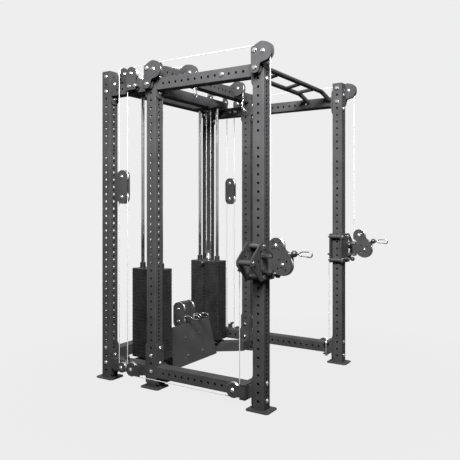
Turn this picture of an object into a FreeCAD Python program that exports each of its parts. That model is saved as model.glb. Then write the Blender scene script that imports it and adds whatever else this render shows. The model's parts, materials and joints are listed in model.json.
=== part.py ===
import FreeCAD, Part
import math
import os

# Power cage with two weight stacks, cable trolleys, lat arms and a low row, in millimetres.
# Everything is laid out from the middle line of the two front uprights: X to the right,
# Y towards the rear, Z up from the floor. save() then moves it so that the origin is the
# middle of the footprint.

V = FreeCAD.Vector
os.makedirs("parts", exist_ok=True)

# ---- driving dimensions --------------------------------------------------------------
PITCH = 50.0              # hole spacing of the frame system
TUBE = 75.0               # side of the square tube
WALL = 3.0
EDGE_R = 5.0              # outer corner radius of the tube
HOLE_R = 8.0
CAGE_W = 1175.0           # upright centre to upright centre, across
MAIN_BAY = 800.0          # front to middle uprights
REAR_BAY = 400.0          # middle to rear uprights
FOOT_T = 8.0
FIRST_HOLE = 58.0
HOLE_COUNT = 41
UPRIGHT_TOP = 2095.5
FOOT_X = 125.0
FOOT_Y = 150.0

HALF = TUBE / 2
SIDE = CAGE_W / 2
MID_Y = MAIN_BAY
REAR_Y = MAIN_BAY + REAR_BAY
INNER_X = SIDE - HALF
OUTER_X = SIDE + HALF
FLANGE_T = 8.0
FLANGE_H = 175.0

LOW_BEAM_Z = 108.0
TOP_BEAM_Z = 1958.0
MID_CROSS_Z = 2058.0
REAR_CROSS_TOP_Z = 2008.0
REAR_CROSS_LOW_Z = 158.0

BOLT_R = 7.6
HEAD_R = 13.0

CABLE_X = 652.0           # plane of the trolley cables
CABLE_R = 2.5
ROPE_R = 41.0             # radius at which a cable lies on a pulley
RIM_R = 46.0
PULLEY_W = 18.0
AXLE_R = 6.0
AXLE_GAP = 0.05
CHEEK_GAP = 10.5          # middle of a pulley to the inner face of its cheek plate
CHEEK_T = 5.0

FLOAT_Y = 1014.0
FLOAT_ROPE_R = 37.0
FRONT_AXLE = (-55.0, 2047.0)
MID_AXLE = (MID_Y - 55.0, 2047.0)
REAR_AXLE = (FLOAT_Y - FLOAT_ROPE_R - ROPE_R, 2041.0)
FLOOR_AXLE = (148.0, 108.0)
REAR_FLOOR_AXLE = (REAR_AXLE[0], 108.0)
FLOAT_TOP_Z = 1369.0
FLOAT_LOW_Z = 1235.0
CORNER_Y = FLOAT_Y + FLOAT_ROPE_R
CORNER_X = CABLE_X - ROPE_R
CORNER_Z = 2058.0
DEAD_ROPE = 30.0           # rope radius of the small pulley that ends the lower cable
DEAD_AXLE = (CORNER_Y - DEAD_ROPE, 108.0)

STACK_X = 347.0
STACK_Y = 1030.0
STACK_W = 123.0
STACK_D = 262.0
STACK_Z0 = 108.0
PLATE_COUNT = 24
PLATE_PITCH = 25.0
PLATE_T = 24.4
ROD_SPACING = 170.0
ROD_R = 12.0
STEM_R = 15.0
HEAD_PLATE_T = 28.0
STACK_TOP = STACK_Z0 + PLATE_COUNT * PLATE_PITCH
PIN_UP = 11.0             # selector pin above the stack's top face
BELL_UP = 44.0            # foot of the cable yoke above the stack's top face
EYE_UP = 190.0            # cable eyes above the stack's top face
STEM_EYE = CORNER_Y - STACK_Y     # the two cables of a stack leave its stem this far from its middle

TOP_SUPPORT_Z = 2008.0    # middle height of the beam that holds the rods' tops
TOP_SUPPORT_H = 75.0
BASE_Z = 47.5             # middle height of the bent base member

SWIVEL_Y = FRONT_AXLE[0] - ROPE_R   # upright axis of the trolley heads, which is the cable's line
HEAD_TOP_AXLE = (SWIVEL_Y - ROPE_R, 956.0)
HEAD_LOW_AXLE = (-179.0, 851.0)
HEAD_LOW_RIM = 60.0
HEAD_LOW_ROPE = 55.0
TROLLEY_Z = 861.0

BALL_Y = -244.0           # ball stop on the trolley cable
BALL_R = 19.0
HOOK_LEN = 78.0
HOOK_WIRE_R = 4.0
HOOK_GAP = 28.0           # ball's middle to the hook's hub
HOOK_TIP = BALL_Y - HOOK_GAP - HOOK_LEN - HOOK_WIRE_R
FOOT_END = REAR_Y + FOOT_Y / 2
Y_SHIFT = -(HOOK_TIP + FOOT_END) / 2


# ---- helpers ---------------------------------------------------------------------------
def save(name, solids):
    """Write one node, moved so that the origin is the middle of the footprint."""
    shape = solids[0] if len(solids) == 1 else Part.makeCompound(solids)
    shape = shape.copy()
    shape.translate(V(0, Y_SHIFT, 0))
    shape.exportStep("parts/" + name + ".step")


def block(x0, x1, y0, y1, z0, z1):
    return Part.makeBox(abs(x1 - x0), abs(y1 - y0), abs(z1 - z0), V(min(x0, x1), min(y0, y1), min(z0, z1)))


def rod(start, end, r):
    """Round bar from start to end."""
    a = V(*start)
    d = V(*end) - a
    return Part.makeCylinder(r, d.Length, a, d)


def pipe(start, end, r, bore):
    return rod(start, end, r).cut(rod(start, end, bore))


def mirror_x(shape):
    return shape.mirror(V(0, 0, 0), V(1, 0, 0))


def both(shape):
    """The left piece and its mirror image on the right."""
    return [shape, mirror_x(shape)]


def edges_along(shape, axis):
    picked = []
    for edge in shape.Edges:
        if edge.Curve.TypeId != "Part::GeomLine":
            continue
        d = edge.tangentAt(edge.FirstParameter)
        if abs(abs(d.dot(axis)) - 1) < 1e-6:
            picked.append(edge)
    return picked


def square_tube(length, x_holes, y_holes, height=TUBE):
    """Hollow tube up Z from the origin; the hole lists give heights on the X and Y faces."""
    outer = block(-HALF, HALF, -height / 2, height / 2, 0, length)
    outer = outer.makeFillet(EDGE_R, edges_along(outer, V(0, 0, 1)))
    inner = block(-HALF + WALL, HALF - WALL, -height / 2 + WALL, height / 2 - WALL, -1, length + 1)
    tube = outer.cut(inner)
    if x_holes:
        tube = tube.cut([rod((-TUBE, 0, z), (TUBE, 0, z), HOLE_R) for z in x_holes])
    if y_holes:
        tube = tube.cut([rod((0, -TUBE, z), (0, TUBE, z), HOLE_R) for z in y_holes])
    return tube


def laid_along_y(tube, x, y0, z):
    """Turn an upright tube to run along +Y from (x, y0, z); its X faces stay X faces."""
    t = tube.copy()
    t.rotate(V(0, 0, 0), V(1, 0, 0), -90)
    t.translate(V(x, y0, z))
    return t


def laid_along_x(tube, x0, y, z):
    """Turn an upright tube to run along +X from (x0, y, z); its Y faces stay Y faces."""
    t = tube.copy()
    t.rotate(V(0, 0, 0), V(0, 1, 0), 90)
    t.translate(V(x0, y, z))
    return t


def outline_plate(points, x0, thick):
    """Plate in the YZ plane from x0 to x0 + thick. Each point is (y, z) or (y, z, radius)."""
    count = len(points)
    edges = []
    ends = []
    for i in range(count):
        p = V(x0, points[i][0], points[i][1])
        r = points[i][2] if len(points[i]) > 2 else 0.0
        if r == 0.0:
            ends.append((p, None, p))
            continue
        before = points[i - 1]
        after = points[(i + 1) % count]
        a = V(x0, before[0], before[1]) - p
        b = V(x0, after[0], after[1]) - p
        a.normalize()
        b.normalize()
        half = a.getAngle(b) / 2
        run = r / math.tan(half)
        mid = a + b
        mid.normalize()
        centre = p + mid * (r / math.sin(half))
        ends.append((p + a * run, centre - mid * r, p + b * run))
    for i in range(count):
        start, middle, end = ends[i]
        if middle is not None:
            edges.append(Part.Arc(start, middle, end).toShape())
        following = ends[(i + 1) % count][0]
        if (following - end).Length > 1e-6:
            edges.append(Part.LineSegment(end, following).toShape())
    face = Part.Face(Part.Wire(edges))
    return face.extrude(V(thick, 0, 0))


def pulley(centre, axis, rim=RIM_R, rope=ROPE_R, bore=AXLE_R + AXLE_GAP):
    """Grooved wheel with its axle bore; axis is 'x' or 'y'."""
    groove = rope - CABLE_R - 0.4
    half = PULLEY_W / 2
    profile = [
        V(-half, 0, bore), V(half, 0, bore), V(half, 0, rim), V(6.0, 0, rim),
        V(3.3, 0, groove + 2.6), V(3.3, 0, groove), V(-3.3, 0, groove), V(-3.3, 0, groove + 2.6),
        V(-6.0, 0, rim), V(-half, 0, rim), V(-half, 0, bore),
    ]
    wheel = Part.Face(Part.makePolygon(profile)).revolve(V(0, 0, 0), V(1, 0, 0), 360)
    # a shallow web on each side between hub and rim
    for side in (-1, 1):
        ring = pipe((side * half, 0, 0), (side * (half - 3.0), 0, 0), groove - 6.0, AXLE_R + 9.0)
        wheel = wheel.cut(ring)
    if axis == "y":
        wheel.rotate(V(0, 0, 0), V(0, 0, 1), 90)
    wheel.translate(V(*centre))
    return wheel


def axle_bolt_x(x0, x1, y, z):
    """Pulley axle along X with a head on each end."""
    shaft = rod((x0, y, z), (x1, y, z), AXLE_R)
    head = rod((x0 - 6.0, y, z), (x0, y, z), 10.0)
    nut = rod((x1, y, z), (x1 + 6.0, y, z), 10.0)
    return shaft.fuse([head, nut])


def axle_bolt_y(y0, y1, x, z):
    shaft = rod((x, y0, z), (x, y1, z), AXLE_R)
    head = rod((x, y0 - 6.0, z), (x, y0, z), 10.0)
    nut = rod((x, y1, z), (x, y1 + 6.0, z), 10.0)
    return shaft.fuse([head, nut])


def hex_prism(centre, direction, across, height):
    """Hexagonal head or nut standing on centre along direction."""
    d = V(*direction)
    d.normalize()
    side = V(0, 0, 1) if abs(d.z) < 0.9 else V(1, 0, 0)
    u = d.cross(side)
    u.normalize()
    w = d.cross(u)
    r = across / math.sqrt(3)
    pts = []
    for k in range(7):
        a = math.radians(60 * k + 30)
        pts.append(V(*centre) + u * (r * math.cos(a)) + w * (r * math.sin(a)))
    return Part.Face(Part.makePolygon(pts)).extrude(d * height)


def through_bolt(start, end, head=HEAD_R, nut=21.0):
    """Bolt from start to end with a domed head at start and a washer and nut at end."""
    a = V(*start)
    b = V(*end)
    d = b - a
    d.normalize()
    shaft = Part.makeCylinder(BOLT_R, (b - a).Length, a, d)
    dome = Part.makeCone(head * 0.68, head, 8.0, a - d * 8.0, d)
    washer = Part.makeCylinder(12.1, 2.0, b, d)
    b = b + d * 2.0
    return shaft.fuse([dome, washer, hex_prism((b.x, b.y, b.z), (d.x, d.y, d.z), nut, 10.0)])


def swept(points, r):
    """Round bar through (x, y, z) points; a point with a fourth value is a bend of that radius."""
    ends = []
    edges = []
    for i, q in enumerate(points):
        p = V(q[0], q[1], q[2])
        if i in (0, len(points) - 1) or len(q) < 4:
            ends.append((p, None, p))
            continue
        a = V(*points[i - 1][:3]) - p
        b = V(*points[i + 1][:3]) - p
        a.normalize()
        b.normalize()
        half = a.getAngle(b) / 2
        run = q[3] / math.tan(half)
        mid = a + b
        mid.normalize()
        centre = p + mid * (q[3] / math.sin(half))
        ends.append((p + a * run, centre - mid * q[3], p + b * run))
    for i in range(len(ends)):
        start, middle, end = ends[i]
        if middle is not None:
            edges.append(Part.Arc(start, middle, end).toShape())
        if i + 1 < len(ends) and (ends[i + 1][0] - end).Length > 1e-6:
            edges.append(Part.LineSegment(end, ends[i + 1][0]).toShape())
    wire = Part.Wire(edges)
    first = edges[0]
    tangent = first.tangentAt(first.FirstParameter)
    ring = Part.Wire(Part.makeCircle(r, first.valueAt(first.FirstParameter), tangent))
    return wire.makePipeShell([ring], True, False)


# ---- frame -----------------------------------------------------------------------------
UPRIGHT_AT = {
    "front_left": (-SIDE, 0.0),
    "front_right": (SIDE, 0.0),
    "mid_left": (-SIDE, MID_Y),
    "mid_right": (SIDE, MID_Y),
    "rear_left": (-SIDE, REAR_Y),
    "rear_right": (SIDE, REAR_Y),
}


def upright():
    whole = [FIRST_HOLE + PITCH * k - FOOT_T for k in range(HOLE_COUNT)]
    blank = FIRST_HOLE + 30 * PITCH - FOOT_T
    side = [z for z in whole if z != blank]
    halves = [FIRST_HOLE + PITCH / 2 * k - FOOT_T for k in range(2 * HOLE_COUNT - 1)]
    return square_tube(UPRIGHT_TOP - FOOT_T, side, halves)


def uprights():
    one = upright()
    for row in ("front", "mid", "rear"):
        pair = []
        for side in ("left", "right"):
            x, y = UPRIGHT_AT[row + "_" + side]
            tube = one.copy()
            tube.translate(V(x, y, FOOT_T))
            pair.append(tube)
        save("uprights_" + row, pair)


def foot_plates():
    plates = []
    for x, y in UPRIGHT_AT.values():
        plate = block(x - FOOT_X / 2, x + FOOT_X / 2, y - FOOT_Y / 2, y + FOOT_Y / 2, 0, FOOT_T)
        plate = plate.makeChamfer(12.0, edges_along(plate, V(0, 0, 1)))
        holes = [rod((x, y + s * (FOOT_Y / 2 - 14), -1), (x, y + s * (FOOT_Y / 2 - 14), FOOT_T + 1), 6.0) for s in (-1, 1)]
        plates.append(plate.cut(holes))
    save("foot_plates", plates)


def side_beam():
    length = MAIN_BAY - TUBE - 2 * FLANGE_T
    start = HALF + FLANGE_T
    holes = [100.0 + PITCH * k - start for k in range(13)]
    return square_tube(length, holes, [])


def rear_beam():
    length = REAR_BAY - TUBE - 2 * FLANGE_T
    holes = [900.0 + PITCH * k - MID_Y - HALF - FLANGE_T for k in range(5)]
    return square_tube(length, holes, [])


def beams():
    long_beam = side_beam()
    short_beam = rear_beam()
    start = HALF + FLANGE_T
    for name, z in (("side_beams_upper", TOP_BEAM_Z), ("side_beams_lower", LOW_BEAM_Z)):
        save(name, [laid_along_y(long_beam, x, start, z) for x in (-SIDE, SIDE)])
    short = []
    for z in (TOP_BEAM_Z, REAR_CROSS_LOW_Z - PITCH):
        for x in (-SIDE, SIDE):
            short.append(laid_along_y(short_beam, x, MID_Y + start, z))
    save("rear_bay_beams", short)


def cross_tube(z, y, holes):
    length = CAGE_W - TUBE - 2 * FLANGE_T
    tube = square_tube(length, [], holes)
    return laid_along_x(tube, -INNER_X + FLANGE_T, y, z)


def crossmembers():
    length = CAGE_W - TUBE - 2 * FLANGE_T
    holes = [length / 2 + PITCH * k for k in range(-10, 11) if abs(k) not in (6, 7)]
    middle = cross_tube(MID_CROSS_Z, MID_Y, holes)
    rear = [cross_tube(z, REAR_Y, []) for z in (REAR_CROSS_TOP_Z, REAR_CROSS_LOW_Z)]
    save("crossmembers", [middle] + rear)


def stack_top_beam():
    """Beam over the stacks with a slotted plate under it for each stack's guide rods."""
    z0 = TOP_SUPPORT_Z - TOP_SUPPORT_H / 2
    z1 = TOP_SUPPORT_Z + TOP_SUPPORT_H / 2
    beam = block(-INNER_X + FLANGE_T, INNER_X - FLANGE_T, STACK_Y - HALF, STACK_Y + HALF, z0, z1)
    beam = beam.makeFillet(EDGE_R, edges_along(beam, V(1, 0, 0)))
    hollow = block(-INNER_X, INNER_X, STACK_Y - HALF + WALL, STACK_Y + HALF - WALL, z0 + WALL, z1 - WALL)
    beam = beam.cut(hollow)
    plates = []
    for side in (-1, 1):
        x = side * STACK_X
        ways = [rod((x, STACK_Y + s * STEM_EYE, z0 - 9), (x, STACK_Y + s * STEM_EYE, z1 + 1), 8.0) for s in (-1, 1)]
        wheel_x = side * (STACK_X + ROPE_R)
        slot = block(wheel_x - 54, wheel_x + 54, CORNER_Y - CHEEK_GAP, CORNER_Y + CHEEK_GAP, z1 - WALL - 1, z1 + 1)
        beam = beam.cut(ways + [slot])
        plate = block(x - 40, x + 40, STACK_Y - 120, STACK_Y + 120, z0 - 8, z0)
        plate = plate.makeFillet(14.0, edges_along(plate, V(0, 0, 1)))
        plate = plate.cut(ways)
        for s in (-1, 1):
            y = STACK_Y + s * ROD_SPACING / 2
            plate = plate.cut(rod((x, y, z0 - 9), (x, y, z0 + 1), ROD_R))
        plates.append(plate)
        for s in (-1, 1):
            y0 = CORNER_Y + s * (CHEEK_GAP + CHEEK_T / 2) - CHEEK_T / 2
            ear = block(wheel_x - 26, wheel_x + 26, y0, y0 + CHEEK_T, z1, CORNER_Z + 20)
            ear = ear.makeFillet(18.0, [e for e in edges_along(ear, V(0, 1, 0)) if e.BoundBox.ZMin > z1 + 1])
            plates.append(ear.cut(rod((wheel_x, y0 - 1, CORNER_Z), (wheel_x, y0 + CHEEK_T + 1, CORNER_Z), AXLE_R)))
        first = CORNER_Y - CHEEK_GAP - CHEEK_T
        last = CORNER_Y + CHEEK_GAP + CHEEK_T
        plates.append(axle_bolt_y(first, last, wheel_x, CORNER_Z))
    save("stack_top_beam", [beam] + plates)


def stack_base_member():
    """Base member that leaves the middle uprights, bends rearwards and runs under both stacks."""
    y_end = MID_Y
    y_mid = STACK_Y - 28
    bend_a = 470.0
    bend_b = 320.0
    x_end = INNER_X - FLANGE_T
    h = HALF
    slope = math.atan2(y_mid - y_end, bend_a - bend_b) / 2
    k = h * math.tan(slope)
    front = [
        (-x_end, y_end - h), (-bend_a + k, y_end - h), (-bend_b + k, y_mid - h),
        (bend_b - k, y_mid - h), (bend_a - k, y_end - h), (x_end, y_end - h),
    ]
    back = [
        (x_end, y_end + h), (bend_a + k, y_end + h), (bend_b + k, y_mid + h),
        (-bend_b - k, y_mid + h), (-bend_a - k, y_end + h), (-x_end, y_end + h),
    ]
    z0 = BASE_Z - HALF
    z1 = BASE_Z + HALF
    pts = [V(x, y, z0) for x, y in front + back]
    pts.append(pts[0])
    tube = Part.Face(Part.makePolygon(pts)).extrude(V(0, 0, TUBE))
    plates = []
    for x in (-STACK_X, STACK_X):
        plate = block(x - STACK_W / 2 + 4, x + STACK_W / 2 - 4, STACK_Y - 115, STACK_Y + 115, z1, z1 + 8)
        for s in (-1, 1):
            y = STACK_Y + s * ROD_SPACING / 2
            plate = plate.cut(rod((x, y, z1 - 1), (x, y, z1 + 9), ROD_R))
        plates.append(plate)
    save("stack_base_member", [tube] + plates)


def flange(axis, x, y, z, height=FLANGE_H, centre_bolts=(-PITCH, PITCH)):
    """End plate of a beam, standing on the face at (x, y); axis is its normal, '+x', '-x', '+y' or '-y'."""
    sign = 1 if axis[0] == "+" else -1
    h = height / 2
    c = 16.0
    pts = [(-HALF + c, -h), (HALF - c, -h), (HALF, -h + c), (HALF, h - c),
           (HALF - c, h), (-HALF + c, h), (-HALF, h - c), (-HALF, -h + c)]
    if axis[1] == "y":
        ring = [V(x + a, y, z + b) for a, b in pts]
        push = V(0, sign * FLANGE_T, 0)
    else:
        ring = [V(x, y + a, z + b) for a, b in pts]
        push = V(sign * FLANGE_T, 0, 0)
    ring.append(ring[0])
    plate = Part.Face(Part.makePolygon(ring)).extrude(push)
    for dz in centre_bolts:
        a = V(x, y, z + dz) - push * 2
        plate = plate.cut(Part.makeCylinder(BOLT_R + 0.4, FLANGE_T * 5, a, push))
    return plate


MID_LOW_BOLTS = (2 * PITCH + FIRST_HOLE, 4 * PITCH + FIRST_HOLE)
BASE_BOLTS = (PITCH + FIRST_HOLE, 3 * PITCH + FIRST_HOLE)


def tall_flange(axis, x, y, z0, z1, bolt_heights):
    middle = (z0 + z1) / 2
    return flange(axis, x, y, middle, z1 - z0, [z - middle for z in bolt_heights])


def beam_flanges():
    plates = []
    low = (FIRST_HOLE, FIRST_HOLE + 2 * PITCH)
    top = (TOP_BEAM_Z - PITCH, TOP_BEAM_Z + PITCH)
    for x in (-SIDE, SIDE):
        for axis, y in (("+y", HALF), ("+y", MID_Y + HALF), ("-y", REAR_Y - HALF), ("-y", MID_Y - HALF)):
            plates.append(tall_flange(axis, x, y, top[0] - HALF, top[1] + HALF, top))
            if y == MID_Y - HALF or y == MID_Y + HALF:
                plates.append(tall_flange(axis, x, y, 20.0, MID_LOW_BOLTS[1] + 30, MID_LOW_BOLTS))
            else:
                plates.append(tall_flange(axis, x, y, 20.0, low[1] + HALF, low))
    for s in (-1, 1):
        inward = "+x" if s < 0 else "-x"
        x = s * INNER_X
        for z in (REAR_CROSS_TOP_Z, REAR_CROSS_LOW_Z):
            plates.append(tall_flange(inward, x, REAR_Y, z - 87.0, z + 87.0, (z - PITCH, z + PITCH)))
        plates.append(tall_flange(inward, x, MID_Y, TOP_BEAM_Z - 35, UPRIGHT_TOP, (TOP_BEAM_Z, TOP_BEAM_Z + 2 * PITCH)))
        plates.append(tall_flange(inward, x, MID_Y, 12.0, BASE_BOLTS[1] + 30, BASE_BOLTS))
        plates.append(tall_flange(inward, x, STACK_Y, TOP_BEAM_Z - 36, TOP_SUPPORT_Z + 37, ()))
    save("beam_flanges", plates)


def frame_bolts():
    """Through bolts of the frame. Bolts that cross in one upright never share a hole height."""
    bolts = []
    out = HALF + 0.3
    far = HALF + FLANGE_T + 0.3
    low = (FIRST_HOLE, FIRST_HOLE + 2 * PITCH)
    top = (TOP_BEAM_Z - PITCH, TOP_BEAM_Z + PITCH)
    for x in (-SIDE, SIDE):
        for z in low + top:
            bolts.append(through_bolt((x, -out, z), (x, far, z)))
            bolts.append(through_bolt((x, REAR_Y + out, z), (x, REAR_Y - far, z)))
        for z in MID_LOW_BOLTS + top:
            bolts.append(through_bolt((x, MID_Y - far, z), (x, MID_Y + far, z), 12.0))
        s = math.copysign(1, x)
        for z in (REAR_CROSS_LOW_Z - PITCH, REAR_CROSS_LOW_Z + PITCH, REAR_CROSS_TOP_Z - PITCH, REAR_CROSS_TOP_Z + PITCH):
            bolts.append(through_bolt((x + s * out, REAR_Y, z), (x - s * far, REAR_Y, z)))
        for z in BASE_BOLTS:
            bolts.append(through_bolt((x + s * out, MID_Y, z), (x - s * far, MID_Y, z)))
    save("frame_bolts", bolts)


BAR_Z = 2022.0
GRIP_ENDS = ((-395.0, -330.0), (-215.0, -110.0), (110.0, 215.0), (330.0, 395.0))
BAR_Y = (82.0, 258.0)
BAR_END_Y = (56.0, 230.0)
BAR_END_Z = 1970.0
BEND_X = 450.0            # where a bar leaves its level run
BAR_R = 16.0
GRIP_R = 13.0


def cranked_bar(y, y_end):
    """Tube across the cage whose ends slope down and forwards to the side beams."""
    path = [
        (-INNER_X + 14, y_end, BAR_END_Z), (-BEND_X, y, BAR_Z, 60.0),
        (BEND_X, y, BAR_Z, 60.0), (INNER_X - 14, y_end, BAR_END_Z),
    ]
    return swept(path, BAR_R)


def pull_up_bar():
    """Two cranked bars inside the upper side beams, joined by slanted grips."""
    bar = cranked_bar(BAR_Y[0], BAR_END_Y[0]).fuse(cranked_bar(BAR_Y[1], BAR_END_Y[1]))
    for x0, x1 in GRIP_ENDS:
        bar = bar.fuse(rod((x0, BAR_Y[0], BAR_Z), (x1, BAR_Y[1], BAR_Z), GRIP_R))
    plates = []
    for s in (-1, 1):
        plate = block(s * (INNER_X - 8), s * INNER_X, 52.0, 292.0, TOP_BEAM_Z - 32, TOP_BEAM_Z + 34)
        plate = plate.makeFillet(12.0, edges_along(plate, V(1, 0, 0)))
        plate = plate.cut(rod((s * (INNER_X - 9), 250.0, TOP_BEAM_Z), (s * (INNER_X + 1), 250.0, TOP_BEAM_Z), HOLE_R))
        plates.append(plate)
    solids = [bar.removeSplitter().cut(plates)] + plates
    for s in (-1, 1):
        shaft = rod((s * (OUTER_X + 0.3), 250.0, TOP_BEAM_Z), (s * (INNER_X - 8), 250.0, TOP_BEAM_Z), BOLT_R)
        head = Part.makeCone(15.0, 9.0, 9.0, V(s * (OUTER_X + 0.3), 250.0, TOP_BEAM_Z), V(s, 0, 0))
        solids.append(shaft.fuse(head))
    save("pull_up_bar", solids)


# ---- pulley brackets -------------------------------------------------------------------
def cheeks(outline, drill, x=CABLE_X):
    """Pair of plates either side of the pulley plane, drilled at the (y, z, r) places."""
    inner = x - CHEEK_GAP - CHEEK_T
    pair = []
    for x0 in (inner, x + CHEEK_GAP):
        plate = outline_plate(outline, x0, CHEEK_T)
        plate = plate.cut([rod((x0 - 1, y, z), (x0 + CHEEK_T + 1, y, z), r) for y, z, r in drill])
        pair.append(plate)
    return pair


def top_bracket_outline(y):
    return [
        (y + 23, 1930, 22), (y + 23, 2076, 16), (y - 44, 2106, 36), (y - 112, 2086, 46),
        (y - 112, 2000, 52), (y - 36, 1984, 16), (y - 24, 1930, 22),
    ]


def top_pulley_brackets():
    solids = []
    for y in (0.0, MID_Y):
        axle_y, axle_z = y + FRONT_AXLE[0], FRONT_AXLE[1]
        bolts = [(y, TOP_BEAM_Z), (y, TOP_BEAM_Z + 2 * PITCH)]
        drill = [(b[0], b[1], BOLT_R + 0.3) for b in bolts] + [(axle_y, axle_z, AXLE_R)]
        plates = cheeks(top_bracket_outline(y), drill)
        parts = list(plates)
        for by, bz in bolts:
            parts.append(pipe((OUTER_X + 0.2, by, bz), (CABLE_X - CHEEK_GAP - CHEEK_T, by, bz), 15.0, BOLT_R + 0.3))
            parts.append(pipe((CABLE_X - CHEEK_GAP, by, bz), (CABLE_X + CHEEK_GAP, by, bz), 9.4, BOLT_R + 0.3))
        parts.append(axle_bolt_x(CABLE_X - CHEEK_GAP - CHEEK_T, CABLE_X + CHEEK_GAP + CHEEK_T, axle_y, axle_z))
        reach = HALF + 0.3 if y == 0.0 else HALF + FLANGE_T + 0.3
        for by, bz in bolts:
            start = (CABLE_X + CHEEK_GAP + CHEEK_T + 0.2, by, bz)
            parts.append(through_bolt(start, (SIDE - reach, by, bz), 15.0))
        for part in parts:
            solids.extend(both(part))
    save("top_pulley_brackets", solids)


def rear_pulley_brackets():
    """Cheeks for the rear top pulley and the corner pulley, standing on the rear side beam."""
    solids = []
    y, z = REAR_AXLE
    base = TOP_BEAM_Z + HALF
    outline = [(y - 40, 1934, 10), (y - 41, z + 41, 40), (y + 41, z + 41, 40), (y + 40, 1934, 10)]
    bolts = [(900.0, TOP_BEAM_Z), (950.0, TOP_BEAM_Z)]
    drill = [(by, bz, BOLT_R + 0.3) for by, bz in bolts] + [(y, z, AXLE_R)]
    parts = cheeks(outline, drill)
    parts.append(axle_bolt_x(CABLE_X - CHEEK_GAP - CHEEK_T, CABLE_X + CHEEK_GAP + CHEEK_T, y, z))
    for by, bz in bolts:
        parts.append(pipe((OUTER_X + 0.2, by, bz), (CABLE_X - CHEEK_GAP - CHEEK_T, by, bz), 14.0, BOLT_R + 0.3))
        parts.append(pipe((CABLE_X - CHEEK_GAP, by, bz), (CABLE_X + CHEEK_GAP, by, bz), 12.0, BOLT_R + 0.3))
        start = (CABLE_X + CHEEK_GAP + CHEEK_T + 0.2, by, bz)
        parts.append(through_bolt(start, (INNER_X - 0.3, by, bz), 13.0))
    # corner pulley: cheeks across the beam, on a foot that is bolted to the beam's top
    for side in (-1, 1):
        y0 = CORNER_Y + side * (CHEEK_GAP + CHEEK_T / 2) - CHEEK_T / 2
        cheek = block(CORNER_X - 45, CORNER_X + 30, y0, y0 + CHEEK_T, base + 6, CORNER_Z)
        cheek = cheek.fuse(rod((CORNER_X, y0, CORNER_Z), (CORNER_X, y0 + CHEEK_T, CORNER_Z), 38.0))
        cheek = cheek.cut(rod((CORNER_X, y0 - 1, CORNER_Z), (CORNER_X, y0 + CHEEK_T + 1, CORNER_Z), AXLE_R))
        parts.append(cheek)
    gap = (CHEEK_GAP, CHEEK_GAP + CHEEK_T)
    parts.append(axle_bolt_y(CORNER_Y - gap[1], CORNER_Y + gap[1], CORNER_X, CORNER_Z))
    for s in (-1, 1):
        y0 = CORNER_Y + s * (gap[0] + 18.0)
        parts.append(block(CORNER_X - 45, CORNER_X + 12, y0 - 18, y0 + 18, base, base + 6))
    for part in parts:
        solids.extend(both(part))
    save("rear_pulley_brackets", solids)


def floor_cheeks(axle, y_far, rim=42.0):
    parts = []
    y, z = axle
    for x0 in (CABLE_X - CHEEK_GAP - CHEEK_T, CABLE_X + CHEEK_GAP):
        disc = rod((x0, y, z), (x0 + CHEEK_T, y, z), rim)
        arm = block(x0, x0 + CHEEK_T, min(y, y_far), max(y, y_far), z - 34.0, z + 34.0)
        plate = disc.fuse(arm).removeSplitter()
        parts.append(plate.cut(rod((x0 - 1, y, z), (x0 + CHEEK_T + 1, y, z), AXLE_R)))
    parts.append(axle_bolt_x(CABLE_X - CHEEK_GAP - CHEEK_T, CABLE_X + CHEEK_GAP + CHEEK_T, y, z))
    return parts


CLAMP_Y = (61.0, 101.0)     # clamp of the front floor pulley round the lower side beam
CLAMP_BOLT_Y = 81.0


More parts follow.
